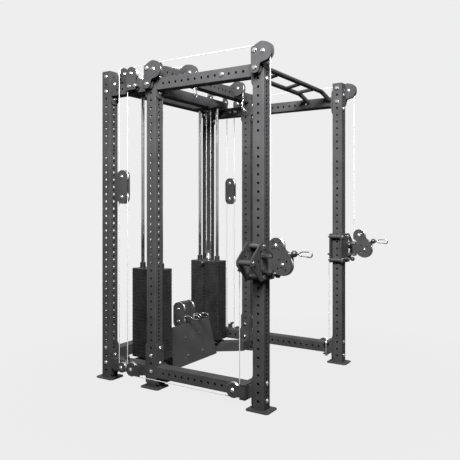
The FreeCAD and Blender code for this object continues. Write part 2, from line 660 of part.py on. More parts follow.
def floor_pulley_brackets():
    solids = []
    parts = floor_cheeks(FLOOR_AXLE, CLAMP_Y[0])
    # clamp round the lower side beam
    beam0 = LOW_BEAM_Z - HALF
    beam1 = LOW_BEAM_Z + HALF
    outer = CABLE_X + CHEEK_GAP + CHEEK_T
    for z0, z1 in ((beam0 - 7.0, beam0 - 1.0), (beam1 + 1.0, beam1 + 7.0)):
        lid = block(INNER_X - 30, outer, CLAMP_Y[0], CLAMP_Y[1], z0, z1)
        parts.append(lid.cut(rod((INNER_X - 15, CLAMP_BOLT_Y, z0 - 1), (INNER_X - 15, CLAMP_BOLT_Y, z1 + 1), 7.9)))
    parts.append(block(CABLE_X - CHEEK_GAP - CHEEK_T - 11.0, CABLE_X - CHEEK_GAP - CHEEK_T, CLAMP_Y[0], CLAMP_Y[1], beam0 - 1, beam1 + 1))
    parts.append(block(CABLE_X - CHEEK_GAP, CABLE_X + CHEEK_GAP, CLAMP_Y[0], CLAMP_Y[0] + 12, beam0 - 1, beam1 + 1))
    parts.append(through_bolt((INNER_X - 15, CLAMP_BOLT_Y, beam1 + 7.3), (INNER_X - 15, CLAMP_BOLT_Y, beam0 - 7.3), 11.0, 18.0))
    rear = floor_cheeks(REAR_FLOOR_AXLE, MID_Y + 60.0)
    rear.append(pipe((OUTER_X + 0.2, REAR_FLOOR_AXLE[0] - 60, 90.0), (CABLE_X - CHEEK_GAP - CHEEK_T, REAR_FLOOR_AXLE[0] - 60, 90.0), 13.0, 6.2))
    rear.append(pipe((OUTER_X + 0.2, REAR_FLOOR_AXLE[0] - 60, 126.0), (CABLE_X - CHEEK_GAP - CHEEK_T, REAR_FLOOR_AXLE[0] - 60, 126.0), 13.0, 6.2))
    parts.extend(rear)
    y, z = DEAD_AXLE
    for x0 in (CABLE_X - CHEEK_GAP - CHEEK_T, CABLE_X + CHEEK_GAP):
        disc = rod((x0, y, z), (x0 + CHEEK_T, y, z), 32.0)
        arm = block(x0, x0 + CHEEK_T, y, y + 62, 84.0, 132.0)
        plate = disc.fuse(arm).removeSplitter()
        parts.append(plate.cut(rod((x0 - 1, y, z), (x0 + CHEEK_T + 1, y, z), AXLE_R)))
    parts.append(axle_bolt_x(CABLE_X - CHEEK_GAP - CHEEK_T, CABLE_X + CHEEK_GAP + CHEEK_T, y, z))
    # lug that holds the end of the lower cable
    lug_y = y - DEAD_ROPE
    parts.append(block(OUTER_X + 0.2, CABLE_X + 9, lug_y - 8, lug_y + 8, 172.0, 184.0))
    parts.append(block(OUTER_X + 0.2, OUTER_X + 6, lug_y - 8, lug_y + 30, 120.0, 172.0))
    for part in parts:
        solids.extend(both(part))
    save("floor_pulley_brackets", solids)


# ---- lat arms and low row ----------------------------------------------------------------
LAT_REAR = (STACK_X, STACK_Y - STEM_EYE)        # where the lat cable drops to the stack
LAT_FRONT_AXLE = (312.0, 716.0, 2087.0)
LAT_REAR_Z = 2110.0
LAT_ROPE_R = 40.0
LAT_RIM_R = 44.0
LAT_TURN = math.degrees(math.atan2(STACK_X - LAT_FRONT_AXLE[0], LAT_REAR[1] - LAT_FRONT_AXLE[1]))
LAT_RUN = math.hypot(STACK_X - LAT_FRONT_AXLE[0], LAT_REAR[1] - LAT_FRONT_AXLE[1])


def lat_place(shape):
    """Move a piece of a lat arm from its own frame, with -Y forwards, to the right of the cage."""
    s = shape.copy()
    s.rotate(V(0, 0, 0), V(0, 0, 1), -LAT_TURN)
    s.translate(V(LAT_REAR[0], LAT_REAR[1], 0))
    return s


def lat_arms():
    base = MID_CROSS_Z + HALF + 0.5
    front_y = -LAT_RUN
    rear_y = -LAT_ROPE_R
    front_z = LAT_FRONT_AXLE[2]
    notch_y = MID_Y - LAT_REAR[1]
    outline = [
        (front_y - 54, front_z - 40, 40), (front_y - 50, front_z + 48, 46), (front_y + 30, front_z + 58, 50),
        (notch_y - 6, base + 20, 8), (rear_y - 70, LAT_REAR_Z + 42, 60), (rear_y + 40, LAT_REAR_Z + 54, 46),
        (rear_y + 50, LAT_REAR_Z - 44, 42), (notch_y + 46, LAT_REAR_Z - 50, 12), (notch_y + 46, base, 4),
        (notch_y - 52, base, 4), (notch_y - 52, front_z - 52, 12), (front_y + 6, front_z - 56, 30),
    ]
    drill = [(front_y, front_z, AXLE_R), (rear_y, LAT_REAR_Z, AXLE_R)]
    parts = cheeks(outline, drill, 0.0)
    for y, z in ((front_y, front_z), (rear_y, LAT_REAR_Z)):
        parts.append(axle_bolt_x(-CHEEK_GAP - CHEEK_T, CHEEK_GAP + CHEEK_T, y, z))
    for y in (notch_y - 24, notch_y + 36):
        parts.append(rod((-CHEEK_GAP, y, base + 13), (CHEEK_GAP, y, base + 13), 7.0))
    saddle = block(-34, 34, notch_y - 30, notch_y + 30, base - 0.4, base + 5.6)
    parts.append(saddle.cut(block(-CHEEK_GAP - CHEEK_T - 0.1, -CHEEK_GAP + 0.1, -999, 999, 0, 9999))
                 .cut(block(CHEEK_GAP - 0.1, CHEEK_GAP + CHEEK_T + 0.1, -999, 999, 0, 9999)))
    solids = []
    for part in parts:
        pieces = part.Solids if len(part.Solids) > 1 else [part]
        for piece in pieces:
            solids.extend(both(lat_place(piece)))
    save("lat_arms", solids)


LAT_DROP = 66.0           # bare cable between the front lat pulley and its stop
ROW_DROP = 66.0
ROW_X = 57.0
ROW_Y = 1008.0
ROW_LOW_Z = 312.0
ROW_TOP_Z = ROW_LOW_Z + 2 * RIM_R + 1.0
ROW_REAR_Y = ROW_Y + ROPE_R


def low_row_tower():
    """Post on the base member that carries the two pairs of low row pulleys."""
    post = block(-30, 30, STACK_Y - 58, STACK_Y + 2, BASE_Z + HALF, 452.0)
    post = post.makeFillet(EDGE_R, edges_along(post, V(0, 0, 1)))
    parts = [post]
    for s in (-1, 1):
        for off in (-CHEEK_GAP - CHEEK_T / 2, CHEEK_GAP + CHEEK_T / 2):
            x0 = s * ROW_X + off - CHEEK_T / 2
            pts = [(ROW_Y - 50, 262, 44), (ROW_Y - 50, 454, 44), (ROW_Y + 50, 454, 44), (ROW_Y + 50, 262, 44)]
            plate = outline_plate(pts, x0, CHEEK_T)
            holes = [rod((x0 - 1, ROW_Y, z), (x0 + CHEEK_T + 1, ROW_Y, z), AXLE_R) for z in (ROW_LOW_Z, ROW_TOP_Z)]
            parts.append(plate.cut(holes))
        for z in (ROW_LOW_Z, ROW_TOP_Z):
            parts.append(axle_bolt_x(s * ROW_X - CHEEK_GAP - CHEEK_T, s * ROW_X + CHEEK_GAP + CHEEK_T, ROW_Y, z))
        inner = s * (ROW_X - CHEEK_GAP - CHEEK_T)
        for z in (280.0, 432.0):
            parts.append(block(s * 30, inner, STACK_Y - 44, STACK_Y - 16, z - 8, z + 8))
    save("low_row_tower", parts)


def low_row_foot_plate():
    """Leaning steel plate for the feet, on two brackets from the base member."""
    z0, z1 = 14.0, 300.0
    y0, y1 = 895.0, 949.0
    low, top = 270.0, 238.0
    t = 6.0
    face = [V(-low, y0, z0), V(low, y0, z0), V(top, y1, z1), V(-top, y1, z1), V(-low, y0, z0)]
    plate = Part.Face(Part.makePolygon(face)).extrude(V(0, t, 0))
    lean = (y1 - y0) / (z1 - z0)
    solids = []
    for x in (-90.0, 90.0):
        for z in (80.0, 206.0):
            y = y0 + lean * (z - z0)
            plate = plate.cut(rod((x, y - 9, z), (x, y + 9, z), 4.2))
            solids.append(rod((x, y - 4, z), (x, y + 9, z), 4.0).fuse(rod((x, y - 6, z), (x, y - 1.9, z), 8.0)))
    solids.append(plate)
    wall = STACK_Y - 28 - HALF
    for x in (-150.0, 150.0):
        pts = [V(x - 4, y0 + lean * (20 - z0) + t + 0.3, 20), V(x - 4, wall, 20), V(x - 4, wall, 84),
               V(x - 4, y0 + lean * (84 - z0) + t + 0.3, 84)]
        pts.append(pts[0])
        solids.append(Part.Face(Part.makePolygon(pts)).extrude(V(8, 0, 0)))
    save("low_row_foot_plate", solids)


# ---- weight stacks ---------------------------------------------------------------------
def guide_rods():
    solids = []
    for x in (-STACK_X, STACK_X):
        for s in (-1, 1):
            y = STACK_Y + s * ROD_SPACING / 2
            solids.append(rod((x, y, BASE_Z + HALF + 0.2), (x, y, TOP_SUPPORT_Z - HALF - 0.2), ROD_R))
    save("guide_rods", solids)


def stack_bumpers():
    solids = []
    for x in (-STACK_X, STACK_X):
        for s in (-1, 1):
            y = STACK_Y + s * ROD_SPACING / 2
            z0 = BASE_Z + HALF + 8
            solids.append(pipe((x, y, z0), (x, y, STACK_Z0), 26.0, ROD_R + 0.4))
    save("stack_bumpers", solids)


def weight_plate():
    plate = block(-STACK_W / 2, STACK_W / 2, -STACK_D / 2, STACK_D / 2, 0, PLATE_T)
    plate = plate.makeChamfer(2.0, plate.Edges)
    tools = [rod((0, 0, -1), (0, 0, PLATE_T + 1), STEM_R + 2.0)]
    for s in (-1, 1):
        tools.append(rod((0, s * ROD_SPACING / 2, -1), (0, s * ROD_SPACING / 2, PLATE_T + 1), ROD_R + 1.5))
    tools.append(rod((0, 0, PLATE_T / 2), (-STACK_W, 0, PLATE_T / 2), 6.5))
    tools.append(block(-STACK_W / 2 - 1, -STACK_W / 2 + 3, -14, 14, -1, PLATE_T + 1))
    return plate.cut(tools)


def weight_plates():
    """Both stacks; each plate's pin hole faces the middle of the cage."""
    right = weight_plate()
    solids = []
    for k in range(PLATE_COUNT):
        plate = right.copy()
        plate.translate(V(STACK_X, STACK_Y, STACK_Z0 + k * PLATE_PITCH))
        solids.extend(both(plate))
    save("weight_plates", solids)


def stack_head():
    """Solids of the right stack's head: top plate, drilled stem, rod bushes and cable yoke."""
    z0 = STACK_TOP
    top = z0 + HEAD_PLATE_T - 0.4
    pin_z = z0 + PIN_UP
    pin_way = rod((-STACK_W, 0, pin_z), (20, 0, pin_z), 5.6)
    plate = block(-STACK_W / 2, STACK_W / 2, -STACK_D / 2, STACK_D / 2, z0, top)
    plate = plate.makeChamfer(2.0, plate.Edges)
    tools = [pin_way, rod((0, 0, z0 - 1), (0, 0, top + 1), STEM_R + AXLE_GAP)]
    bushes = []
    for s in (-1, 1):
        y = s * ROD_SPACING / 2
        tools.append(rod((0, y, z0 - 1), (0, y, top + 1), ROD_R + 1.0))
        bushes.append(pipe((0, y, top), (0, y, top + 38), 20.0, ROD_R + 1.0))
    plate = plate.cut(tools)
    stem = rod((0, 0, STACK_Z0 + 4), (0, 0, z0 + BELL_UP), STEM_R)
    heights = [STACK_Z0 + k * PLATE_PITCH + PLATE_T / 2 for k in range(PLATE_COUNT)]
    stem = stem.cut([rod((-40, 0, z), (40, 0, z), 5.6) for z in heights] + [pin_way])
    bell = Part.makeCone(22.0, 13.0, 42.0, V(0, 0, z0 + BELL_UP), V(0, 0, 1))
    yoke = block(-6, 6, -32, 32, z0 + BELL_UP + 40, z0 + BELL_UP + 68)
    eyes = [rod((0, s * STEM_EYE, z0 + 110), (0, s * STEM_EYE, z0 + EYE_UP), 7.0) for s in (-1, 1)]
    return [plate, stem, bell.fuse([yoke] + eyes).removeSplitter()] + bushes


def stack_heads():
    right = stack_head()
    for solid in right:
        solid.translate(V(STACK_X, STACK_Y, 0))
    save("stack_head_right", right)
    save("stack_head_left", [mirror_x(solid) for solid in right])


def selector_pins():
    """Pull pin with a round knob, pushed into the top plate."""
    z = STACK_TOP + PIN_UP
    x_face = STACK_X - STACK_W / 2
    pin = rod((x_face - 6, STACK_Y, z), (STACK_X + 4, STACK_Y, z), 5.5)
    knob = rod((x_face - 40, STACK_Y, z), (x_face - 5, STACK_Y, z), 14.0)
    knob = knob.makeFillet(5.0, knob.Edges)
    pin = pin.fuse(knob)
    save("selector_pin_right", [pin])
    save("selector_pin_left", [mirror_x(pin)])


# ---- trolley ---------------------------------------------------------------------------
TROLLEY_GAP = 1.0          # slide clearance between the trolley and the upright
ROLLER_Z = 87.0            # rollers above and below the trolley's middle
PLATE_HALF = 108.0         # half the height of the trolley's side plates
WINDOW_X = (OUTER_X + 36.0, OUTER_X + 84.0)
GRIP_X = 757.0
PIN_Z = 783.0
PIN_X = SIDE
KNUCKLE_Z = (812.0, 898.0)
PIN_TRAVEL = 18.0


def trolley():
    """Two arrow-shaped plates round the upright, rollers, grip and the fixed half of the hinge."""
    y_in = HALF + 3.0
    t = 8.0
    parts = []
    for s in (-1, 1):
        y0 = s * y_in
        y1 = s * (y_in + t)
        pts = [(INNER_X - 34, TROLLEY_Z - PLATE_HALF), (INNER_X - 34, TROLLEY_Z + PLATE_HALF),
               (OUTER_X + 50, TROLLEY_Z + PLATE_HALF), (GRIP_X + 26, TROLLEY_Z + 14),
               (GRIP_X + 26, TROLLEY_Z - 14), (OUTER_X + 50, TROLLEY_Z - PLATE_HALF)]
        ring = [V(x, y0, z) for x, z in pts]
        ring.append(ring[0])
        plate = Part.Face(Part.makePolygon(ring)).extrude(V(0, y1 - y0, 0))
        plate = plate.makeFillet(10.0, edges_along(plate, V(0, 1, 0)))
        opening = [(WINDOW_X[0], TROLLEY_Z - 64), (WINDOW_X[0], TROLLEY_Z + 64), (WINDOW_X[0] + 24, TROLLEY_Z + 64),
                   (WINDOW_X[1], TROLLEY_Z + 8), (WINDOW_X[1], TROLLEY_Z - 8), (WINDOW_X[0] + 24, TROLLEY_Z - 64)]
        corners = [V(x, -99, z) for x, z in opening]
        corners.append(corners[0])
        window = Part.Face(Part.makePolygon(corners)).extrude(V(0, 198, 0))
        plate = plate.cut(window.makeFillet(6.0, edges_along(window, V(0, 1, 0))))
        holes = [rod((x, -99, z), (x, 99, z), 6.0) for x, z in trolley_rods_at()]
        plate = plate.cut(holes)
        if s < 0:
            plate = plate.cut(rod((PIN_X, -99, PIN_Z), (PIN_X, 0, PIN_Z), 12.0))
        parts.append(plate)
    for x, z in trolley_rods_at():
        grip = x == GRIP_X
        r = 15.0 if grip else 14.0
        sleeve = pipe((x, -y_in + 0.3, z), (x, y_in - 0.3, z), r, 6.2)
        parts.append(sleeve)
        bolt = rod((x, -y_in - t - 0.3, z), (x, y_in + t + 0.3, z), 5.9)
        head = rod((x, -y_in - t - 8.0, z), (x, -y_in - t, z), 11.0)
        nut = rod((x, y_in + t, z), (x, y_in + t + 8.0, z), 10.0)
        parts.append(bolt.fuse([head, nut]))
    # housing of the lock pin
    y_face = -y_in - t
    house = pipe((PIN_X, y_face - 22, PIN_Z), (PIN_X, -y_in, PIN_Z), 12.0, 7.08)
    parts.append(house)
    # fixed knuckles of the swivel and the block between them
    for z in KNUCKLE_Z:
        ear = block(CABLE_X - 20, CABLE_X + 20, SWIVEL_Y, y_face, z - 7, z + 7)
        round_end = rod((CABLE_X, SWIVEL_Y, z - 7), (CABLE_X, SWIVEL_Y, z + 7), 20.0)
        ear = ear.fuse(round_end).cut(rod((CABLE_X, SWIVEL_Y, z - 8), (CABLE_X, SWIVEL_Y, z + 8), 9.05))
        parts.append(ear.removeSplitter())
    # lug for the lower cable, behind the upright
    lug_y = FLOOR_AXLE[0] - ROPE_R
    lug = block(CABLE_X - 10, CABLE_X + 10, y_in + t, lug_y + 9, TROLLEY_Z - 62, TROLLEY_Z - 50)
    parts.append(lug)
    return parts


def trolley_rods_at():
    inner = INNER_X - 18.0
    outer = OUTER_X + 16.0
    return [
        (outer, TROLLEY_Z + ROLLER_Z), (outer, TROLLEY_Z - ROLLER_Z), (GRIP_X, TROLLEY_Z),
        (inner, TROLLEY_Z + ROLLER_Z), (inner, TROLLEY_Z - ROLLER_Z),
    ]


def trolleys():
    parts = trolley()
    save("trolley_right", parts)
    save("trolley_left", [mirror_x(p) for p in parts])


def lock_pins():
    """Pull pin, drawn back clear of the upright; it goes 18 mm inwards to lock the trolley."""
    tip = -HALF - 1.0
    y_face = -(HALF + 3.0 + 8.0) - 22 - PIN_TRAVEL
    pin = rod((PIN_X, tip, PIN_Z), (PIN_X, y_face - 4, PIN_Z), 7.0)
    knob = rod((PIN_X, y_face - 0.6, PIN_Z), (PIN_X, y_face - 34, PIN_Z), 15.0)
    knob = knob.makeFillet(4.0, knob.Edges)
    pin = pin.fuse(knob)
    save("lock_pin_right", [pin])
    save("lock_pin_left", [mirror_x(pin)])


def pulley_head():
    """Swivelling cheek plates that hold the two cable pulleys of a trolley."""
    ty, tz = HEAD_TOP_AXLE
    ly, lz = HEAD_LOW_AXLE
    parts = []
    outline = [
        (ty + 43, tz + 45, 42), (ty - 45, tz + 45, 43), (ty - 46, tz - 20, 24), (ly - 55, lz + 54, 50),
        (ly - 57, lz - 56, 54), (ly + 50, lz - 54, 46), (SWIVEL_Y - 23, lz - 14, 16),
        (SWIVEL_Y - 23, 912, 8), (ty + 43, 930, 10),
    ]
    drill = [(ty, tz, AXLE_R), (ly, lz, AXLE_R)]
    for cy, cz, ring, hole in ((ty, tz, 27.0, 5.5), (ly, lz, 34.0, 7.0)):
        for k in range(4):
            a = math.radians(45 + 90 * k + 8)
            drill.append((cy + ring * math.cos(a), cz + ring * math.sin(a), hole))
    parts.extend(cheeks(outline, drill))
    for y, z in ((ty, tz), (ly, lz)):
        parts.append(axle_bolt_x(CABLE_X - CHEEK_GAP - CHEEK_T, CABLE_X + CHEEK_GAP + CHEEK_T, y, z))
    # hinge barrel between the trolley's knuckles, hollow for the cable
    low = KNUCKLE_Z[0] + 7.4
    high = KNUCKLE_Z[1] - 7.4
    barrel = rod((CABLE_X, SWIVEL_Y, low), (CABLE_X, SWIVEL_Y, high), 15.0)
    web = block(CABLE_X - CHEEK_GAP, CABLE_X + CHEEK_GAP, SWIVEL_Y - 34, SWIVEL_Y, low, high - 4)
    web = web.cut(rod((CABLE_X - 30, ly, lz), (CABLE_X + 30, ly, lz), HEAD_LOW_RIM + 1.5))
    barrel = barrel.fuse(web).removeSplitter()
    spindle = rod((CABLE_X, SWIVEL_Y, KNUCKLE_Z[0] - 8), (CABLE_X, SWIVEL_Y, KNUCKLE_Z[1] + 8), 9.0)
    caps = [rod((CABLE_X, SWIVEL_Y, z0), (CABLE_X, SWIVEL_Y, z1), 11.5)
            for z0, z1 in ((KNUCKLE_Z[0] - 12, KNUCKLE_Z[0] - 7.4), (KNUCKLE_Z[1] + 7.4, KNUCKLE_Z[1] + 11))]
    barrel = barrel.fuse([spindle] + caps).removeSplitter()
    parts.append(barrel)
    return parts


def pulley_heads():
    parts = pulley_head()
    save("pulley_head_right", parts)
    save("pulley_head_left", [mirror_x(p) for p in parts])
    top = pulley((CABLE_X, HEAD_TOP_AXLE[0], HEAD_TOP_AXLE[1]), "x")
    low = pulley((CABLE_X, HEAD_LOW_AXLE[0], HEAD_LOW_AXLE[1]), "x", HEAD_LOW_RIM, HEAD_LOW_ROPE)
    save("head_upper_pulley_right", [top])
    save("head_upper_pulley_left", [mirror_x(top)])
    save("head_lower_pulley_right", [low])
    save("head_lower_pulley_left", [mirror_x(low)])


# ---- cable ends ------------------------------------------------------------------------
EXIT_Z = HEAD_TOP_AXLE[1] - ROPE_R


def snap_hook(x, y, z, direction):
    """Spring hook from (x, y, z), its long axis along direction '-y' or '-z'."""
    length = HOOK_LEN
    w = 15.0
    r = HOOK_WIRE_R
    pts = [V(0, 0, 0), V(w, -22, 0), V(w, -length + w, 0), V(-w, -length + w, 0), V(-w, -22, 0)]
    e = [Part.LineSegment(pts[0], pts[1]).toShape(), Part.LineSegment(pts[1], pts[2]).toShape(),
         Part.Arc(pts[2], V(0, -length, 0), pts[3]).toShape(), Part.LineSegment(pts[3], pts[4]).toShape()]
    solids = []
    loop = None
    for edge in e:
        d = edge.tangentAt(edge.FirstParameter)
        ring = Part.Wire(Part.makeCircle(r, edge.valueAt(edge.FirstParameter), d))
        piece = Part.Wire([edge]).makePipeShell([ring], True, False)
        loop = piece if loop is None else loop.fuse(piece)
    for p in pts:
        loop = loop.fuse(Part.makeSphere(r, p))
    loop = loop.fuse(rod((0, 0, 0), (-w, -22, 0), r))
    hub = rod((0, 9, 0), (0, -9, 0), 7.0)
    loop = loop.fuse(hub).removeSplitter()
    if direction == "-y":
        loop.rotate(V(0, 0, 0), V(0, 1, 0), 90)
    else:
        loop.rotate(V(0, 0, 0), V(1, 0, 0), 90)
    loop.translate(V(x, y, z))
    return loop


def cable_ends():
    """Ball stop and snap hook at the end of each trolley cable."""
    ball = Part.makeSphere(BALL_R, V(CABLE_X, BALL_Y, EXIT_Z))
    sleeve = rod((CABLE_X, BALL_Y, EXIT_Z), (CABLE_X, BALL_Y - 30, EXIT_Z), 6.0)
    stop = ball.fuse(sleeve).removeSplitter()
    hook = snap_hook(CABLE_X, BALL_Y - HOOK_GAP, EXIT_Z, "-y")
    end = stop.fuse(hook).removeSplitter()
    save("cable_end_right", [end])
    save("cable_end_left", [mirror_x(end)])


# ---- floating blocks -------------------------------------------------------------------
def float_block():
    outline = [
        (FLOAT_Y - 44, FLOAT_LOW_Z - 44, 43), (FLOAT_Y - 44, FLOAT_TOP_Z + 44, 43),
        (FLOAT_Y + 44, FLOAT_TOP_Z + 44, 43), (FLOAT_Y + 44, FLOAT_LOW_Z - 44, 43),
    ]
    drill = [(FLOAT_Y, z, AXLE_R) for z in (FLOAT_LOW_Z, FLOAT_TOP_Z)]
    parts = cheeks(outline, drill)
    for z in (FLOAT_LOW_Z, FLOAT_TOP_Z):
        parts.append(axle_bolt_x(CABLE_X - CHEEK_GAP - CHEEK_T, CABLE_X + CHEEK_GAP + CHEEK_T, FLOAT_Y, z))
    middle = (FLOAT_LOW_Z + FLOAT_TOP_Z) / 2
    parts.append(block(CABLE_X - CHEEK_GAP, CABLE_X + CHEEK_GAP, FLOAT_Y - 16, FLOAT_Y + 16, middle - 14, middle + 14))
    return parts


def float_blocks():
    parts = float_block()
    save("float_block_right", parts)
    save("float_block_left", [mirror_x(p) for p in parts])
    for name, z in (("upper", FLOAT_TOP_Z), ("lower", FLOAT_LOW_Z)):
        wheel = pulley((CABLE_X, FLOAT_Y, z), "x", 42.0, FLOAT_ROPE_R)
        save("float_" + name + "_pulley_right", [wheel])
        save("float_" + name + "_pulley_left", [mirror_x(wheel)])


# ---- fixed pulleys ---------------------------------------------------------------------
def fixed_pulleys():
    rows = (
        ("front_top_pulleys", FRONT_AXLE, RIM_R, ROPE_R), ("mid_top_pulleys", MID_AXLE, RIM_R, ROPE_R),
        ("rear_top_pulleys", REAR_AXLE, RIM_R, ROPE_R), ("front_floor_pulleys", FLOOR_AXLE, RIM_R, ROPE_R),
        ("rear_floor_pulleys", REAR_FLOOR_AXLE, RIM_R, ROPE_R),
        ("cable_end_pulleys", DEAD_AXLE, DEAD_ROPE + 4.0, DEAD_ROPE),
    )
    for name, (y, z), rim, rope in rows:
        save(name, both(pulley((CABLE_X, y, z), "x", rim, rope)))
    for name, z in (("low_row_upper_pulleys", ROW_TOP_Z), ("low_row_lower_pulleys", ROW_LOW_Z)):
        save(name, both(pulley((ROW_X, ROW_Y, z), "x")))
    save("corner_pulleys", both(pulley((CORNER_X, CORNER_Y, CORNER_Z), "y"))
         + both(pulley((STACK_X + ROPE_R, CORNER_Y, CORNER_Z), "y")))
    lat = []
    for y, z in ((-LAT_RUN, LAT_FRONT_AXLE[2]), (-LAT_ROPE_R, LAT_REAR_Z)):
        lat.extend(both(lat_place(pulley((0, y, z), "x", LAT_RIM_R, LAT_ROPE_R))))
    save("lat_pulleys", lat)


# ---- cables ----------------------------------------------------------------------------
def bent_cable(points):
    edge = Part.Arc(*points).toShape()
    ring = Part.Wire(Part.makeCircle(CABLE_R, points[0], edge.tangentAt(edge.FirstParameter)))
    return Part.Wire([edge]).makePipeShell([ring], True, False)


def arc_about(axis_point, r, start_deg, end_deg, x):
    """Cable arc in the YZ plane round (y, z), between two angles from +Y towards +Z."""
    y, z = axis_point
    turns = [math.radians(a) for a in (start_deg, (start_deg + end_deg) / 2, end_deg)]
    return bent_cable([V(x, y + r * math.cos(t), z + r * math.sin(t)) for t in turns])


def wrap_y(cx, cz, r, start_deg, end_deg, y):
    """Cable arc in the XZ plane round (cx, cz), between two angles from +X towards +Z."""
    turns = [math.radians(a) for a in (start_deg, (start_deg + end_deg) / 2, end_deg)]
    return bent_cable([V(cx + r * math.cos(t), y, cz + r * math.sin(t)) for t in turns])


def line(start, end):
    return rod(start, end, CABLE_R)


def fixed_cables():
    """Every stretch of cable that stays with the frame."""
    x = CABLE_X
    top = FRONT_AXLE[1] + ROPE_R
    rear_top = REAR_AXLE[1] + ROPE_R
    drop = math.degrees(math.atan2(top - rear_top, REAR_AXLE[0] - MID_AXLE[0]))
    t = math.radians(drop)
    mid_off = (MID_AXLE[0] + ROPE_R * math.sin(t), MID_AXLE[1] + ROPE_R * math.cos(t))
    rear_on = (REAR_AXLE[0] + ROPE_R * math.sin(t), REAR_AXLE[1] + ROPE_R * math.cos(t))
    cz = CORNER_Z + ROPE_R
    bottom = FLOOR_AXLE[1] - ROPE_R
    parts = [
        arc_about(FRONT_AXLE, ROPE_R, 180, 90, x),
        line((x, FRONT_AXLE[0], top), (x, MID_AXLE[0], top)),
        line((x, mid_off[0], mid_off[1]), (x, rear_on[0], rear_on[1])),
        arc_about(REAR_AXLE, ROPE_R, 90 - drop, 0, x),
        wrap_y(CORNER_X, CORNER_Z, ROPE_R, 0, 90, CORNER_Y),
        line((CORNER_X, CORNER_Y, cz), (STACK_X + ROPE_R, CORNER_Y, cz)),
        wrap_y(STACK_X + ROPE_R, CORNER_Z, ROPE_R, 90, 180, CORNER_Y),
        arc_about(FLOOR_AXLE, ROPE_R, 180, 270, x),
        line((x, FLOOR_AXLE[0], bottom), (x, REAR_FLOOR_AXLE[0], bottom)),
        arc_about(REAR_FLOOR_AXLE, ROPE_R, 270, 360, x),
        arc_about(DEAD_AXLE, DEAD_ROPE, 0, -180, x),
        line((x, DEAD_AXLE[0] - DEAD_ROPE, DEAD_AXLE[1]), (x, DEAD_AXLE[0] - DEAD_ROPE, 171.8)),
    ]
    solids = []
    for part in parts:
        solids.extend(both(part))
    # lat cables: over the arm's two pulleys and down to the hook in front
    fz = LAT_FRONT_AXLE[2]
    fy = -LAT_RUN
    climb = math.atan2(LAT_REAR_Z - fz, -LAT_ROPE_R - fy)
    front_on = (fy - LAT_ROPE_R * math.sin(climb), fz + LAT_ROPE_R * math.cos(climb))
    rear_off = (-LAT_ROPE_R - LAT_ROPE_R * math.sin(climb), LAT_REAR_Z + LAT_ROPE_R * math.cos(climb))
    lat = [
        arc_about((fy, fz), LAT_ROPE_R, 180, 90 + math.degrees(climb), 0.0),
        line((0, front_on[0], front_on[1]), (0, rear_off[0], rear_off[1])),
        arc_about((-LAT_ROPE_R, LAT_REAR_Z), LAT_ROPE_R, 90 + math.degrees(climb), 0, 0.0),
    ]
    for part in lat:
        solids.extend(both(lat_place(part)))
    # low row cables: nip, over the lower pulley and down into the base member
    exit_z = ROW_LOW_Z + ROPE_R
    row = [
        arc_about((ROW_Y, ROW_LOW_Z), ROPE_R, 90, 0, ROW_X),
        line((ROW_X, ROW_REAR_Y, ROW_LOW_Z), (ROW_X, ROW_REAR_Y, 40.0)),
    ]
    for part in row:
        solids.extend(both(part))
    save("fixed_cables", solids)


def moving_cables():
    """Straight runs that lengthen and shorten as a trolley, block, stack or handle moves."""
    x = CABLE_X
    float_front = FLOAT_Y - FLOAT_ROPE_R
    float_rear = FLOAT_Y + FLOAT_ROPE_R
    lug_y = FLOOR_AXLE[0] - ROPE_R
    eye_z = STACK_TOP + EYE_UP
    nip_y = HEAD_TOP_AXLE[0]
    parts = [
        line((x, FRONT_AXLE[0] - ROPE_R, FRONT_AXLE[1]), (x, SWIVEL_Y, HEAD_TOP_AXLE[1])),
        arc_about(HEAD_TOP_AXLE, ROPE_R, 0, -90, x),
        line((x, nip_y, EXIT_Z), (x, BALL_Y + BALL_R, EXIT_Z)),
        line((x, lug_y, TROLLEY_Z - 62.2), (x, lug_y, FLOOR_AXLE[1])),
        line((x, float_front, REAR_AXLE[1]), (x, float_front, FLOAT_TOP_Z)),
        arc_about((FLOAT_Y, FLOAT_TOP_Z), FLOAT_ROPE_R, 180, 360, x),
        line((x, float_rear, FLOAT_TOP_Z), (x, float_rear, CORNER_Z)),
        line((x, float_front, REAR_FLOOR_AXLE[1]), (x, float_front, FLOAT_LOW_Z)),
        arc_about((FLOAT_Y, FLOAT_LOW_Z), FLOAT_ROPE_R, 180, 0, x),
        line((x, float_rear, FLOAT_LOW_Z), (x, float_rear, DEAD_AXLE[1])),
        line((STACK_X, CORNER_Y, CORNER_Z), (STACK_X, CORNER_Y, eye_z)),
        line((STACK_X, LAT_REAR[1], LAT_REAR_Z), (STACK_X, LAT_REAR[1], eye_z)),
    ]
    drop_y = -LAT_RUN - LAT_ROPE_R
    lat_z = LAT_FRONT_AXLE[2]
    parts.append(lat_place(line((0, drop_y, lat_z), (0, drop_y, lat_z - LAT_DROP))))
    row_z = ROW_LOW_Z + ROPE_R
    parts.append(line((ROW_X, ROW_Y, row_z), (ROW_X, ROW_Y - ROW_DROP, row_z)))
    solids = []
    for part in parts:
        solids.extend(both(part))
    save("moving_cables", solids)


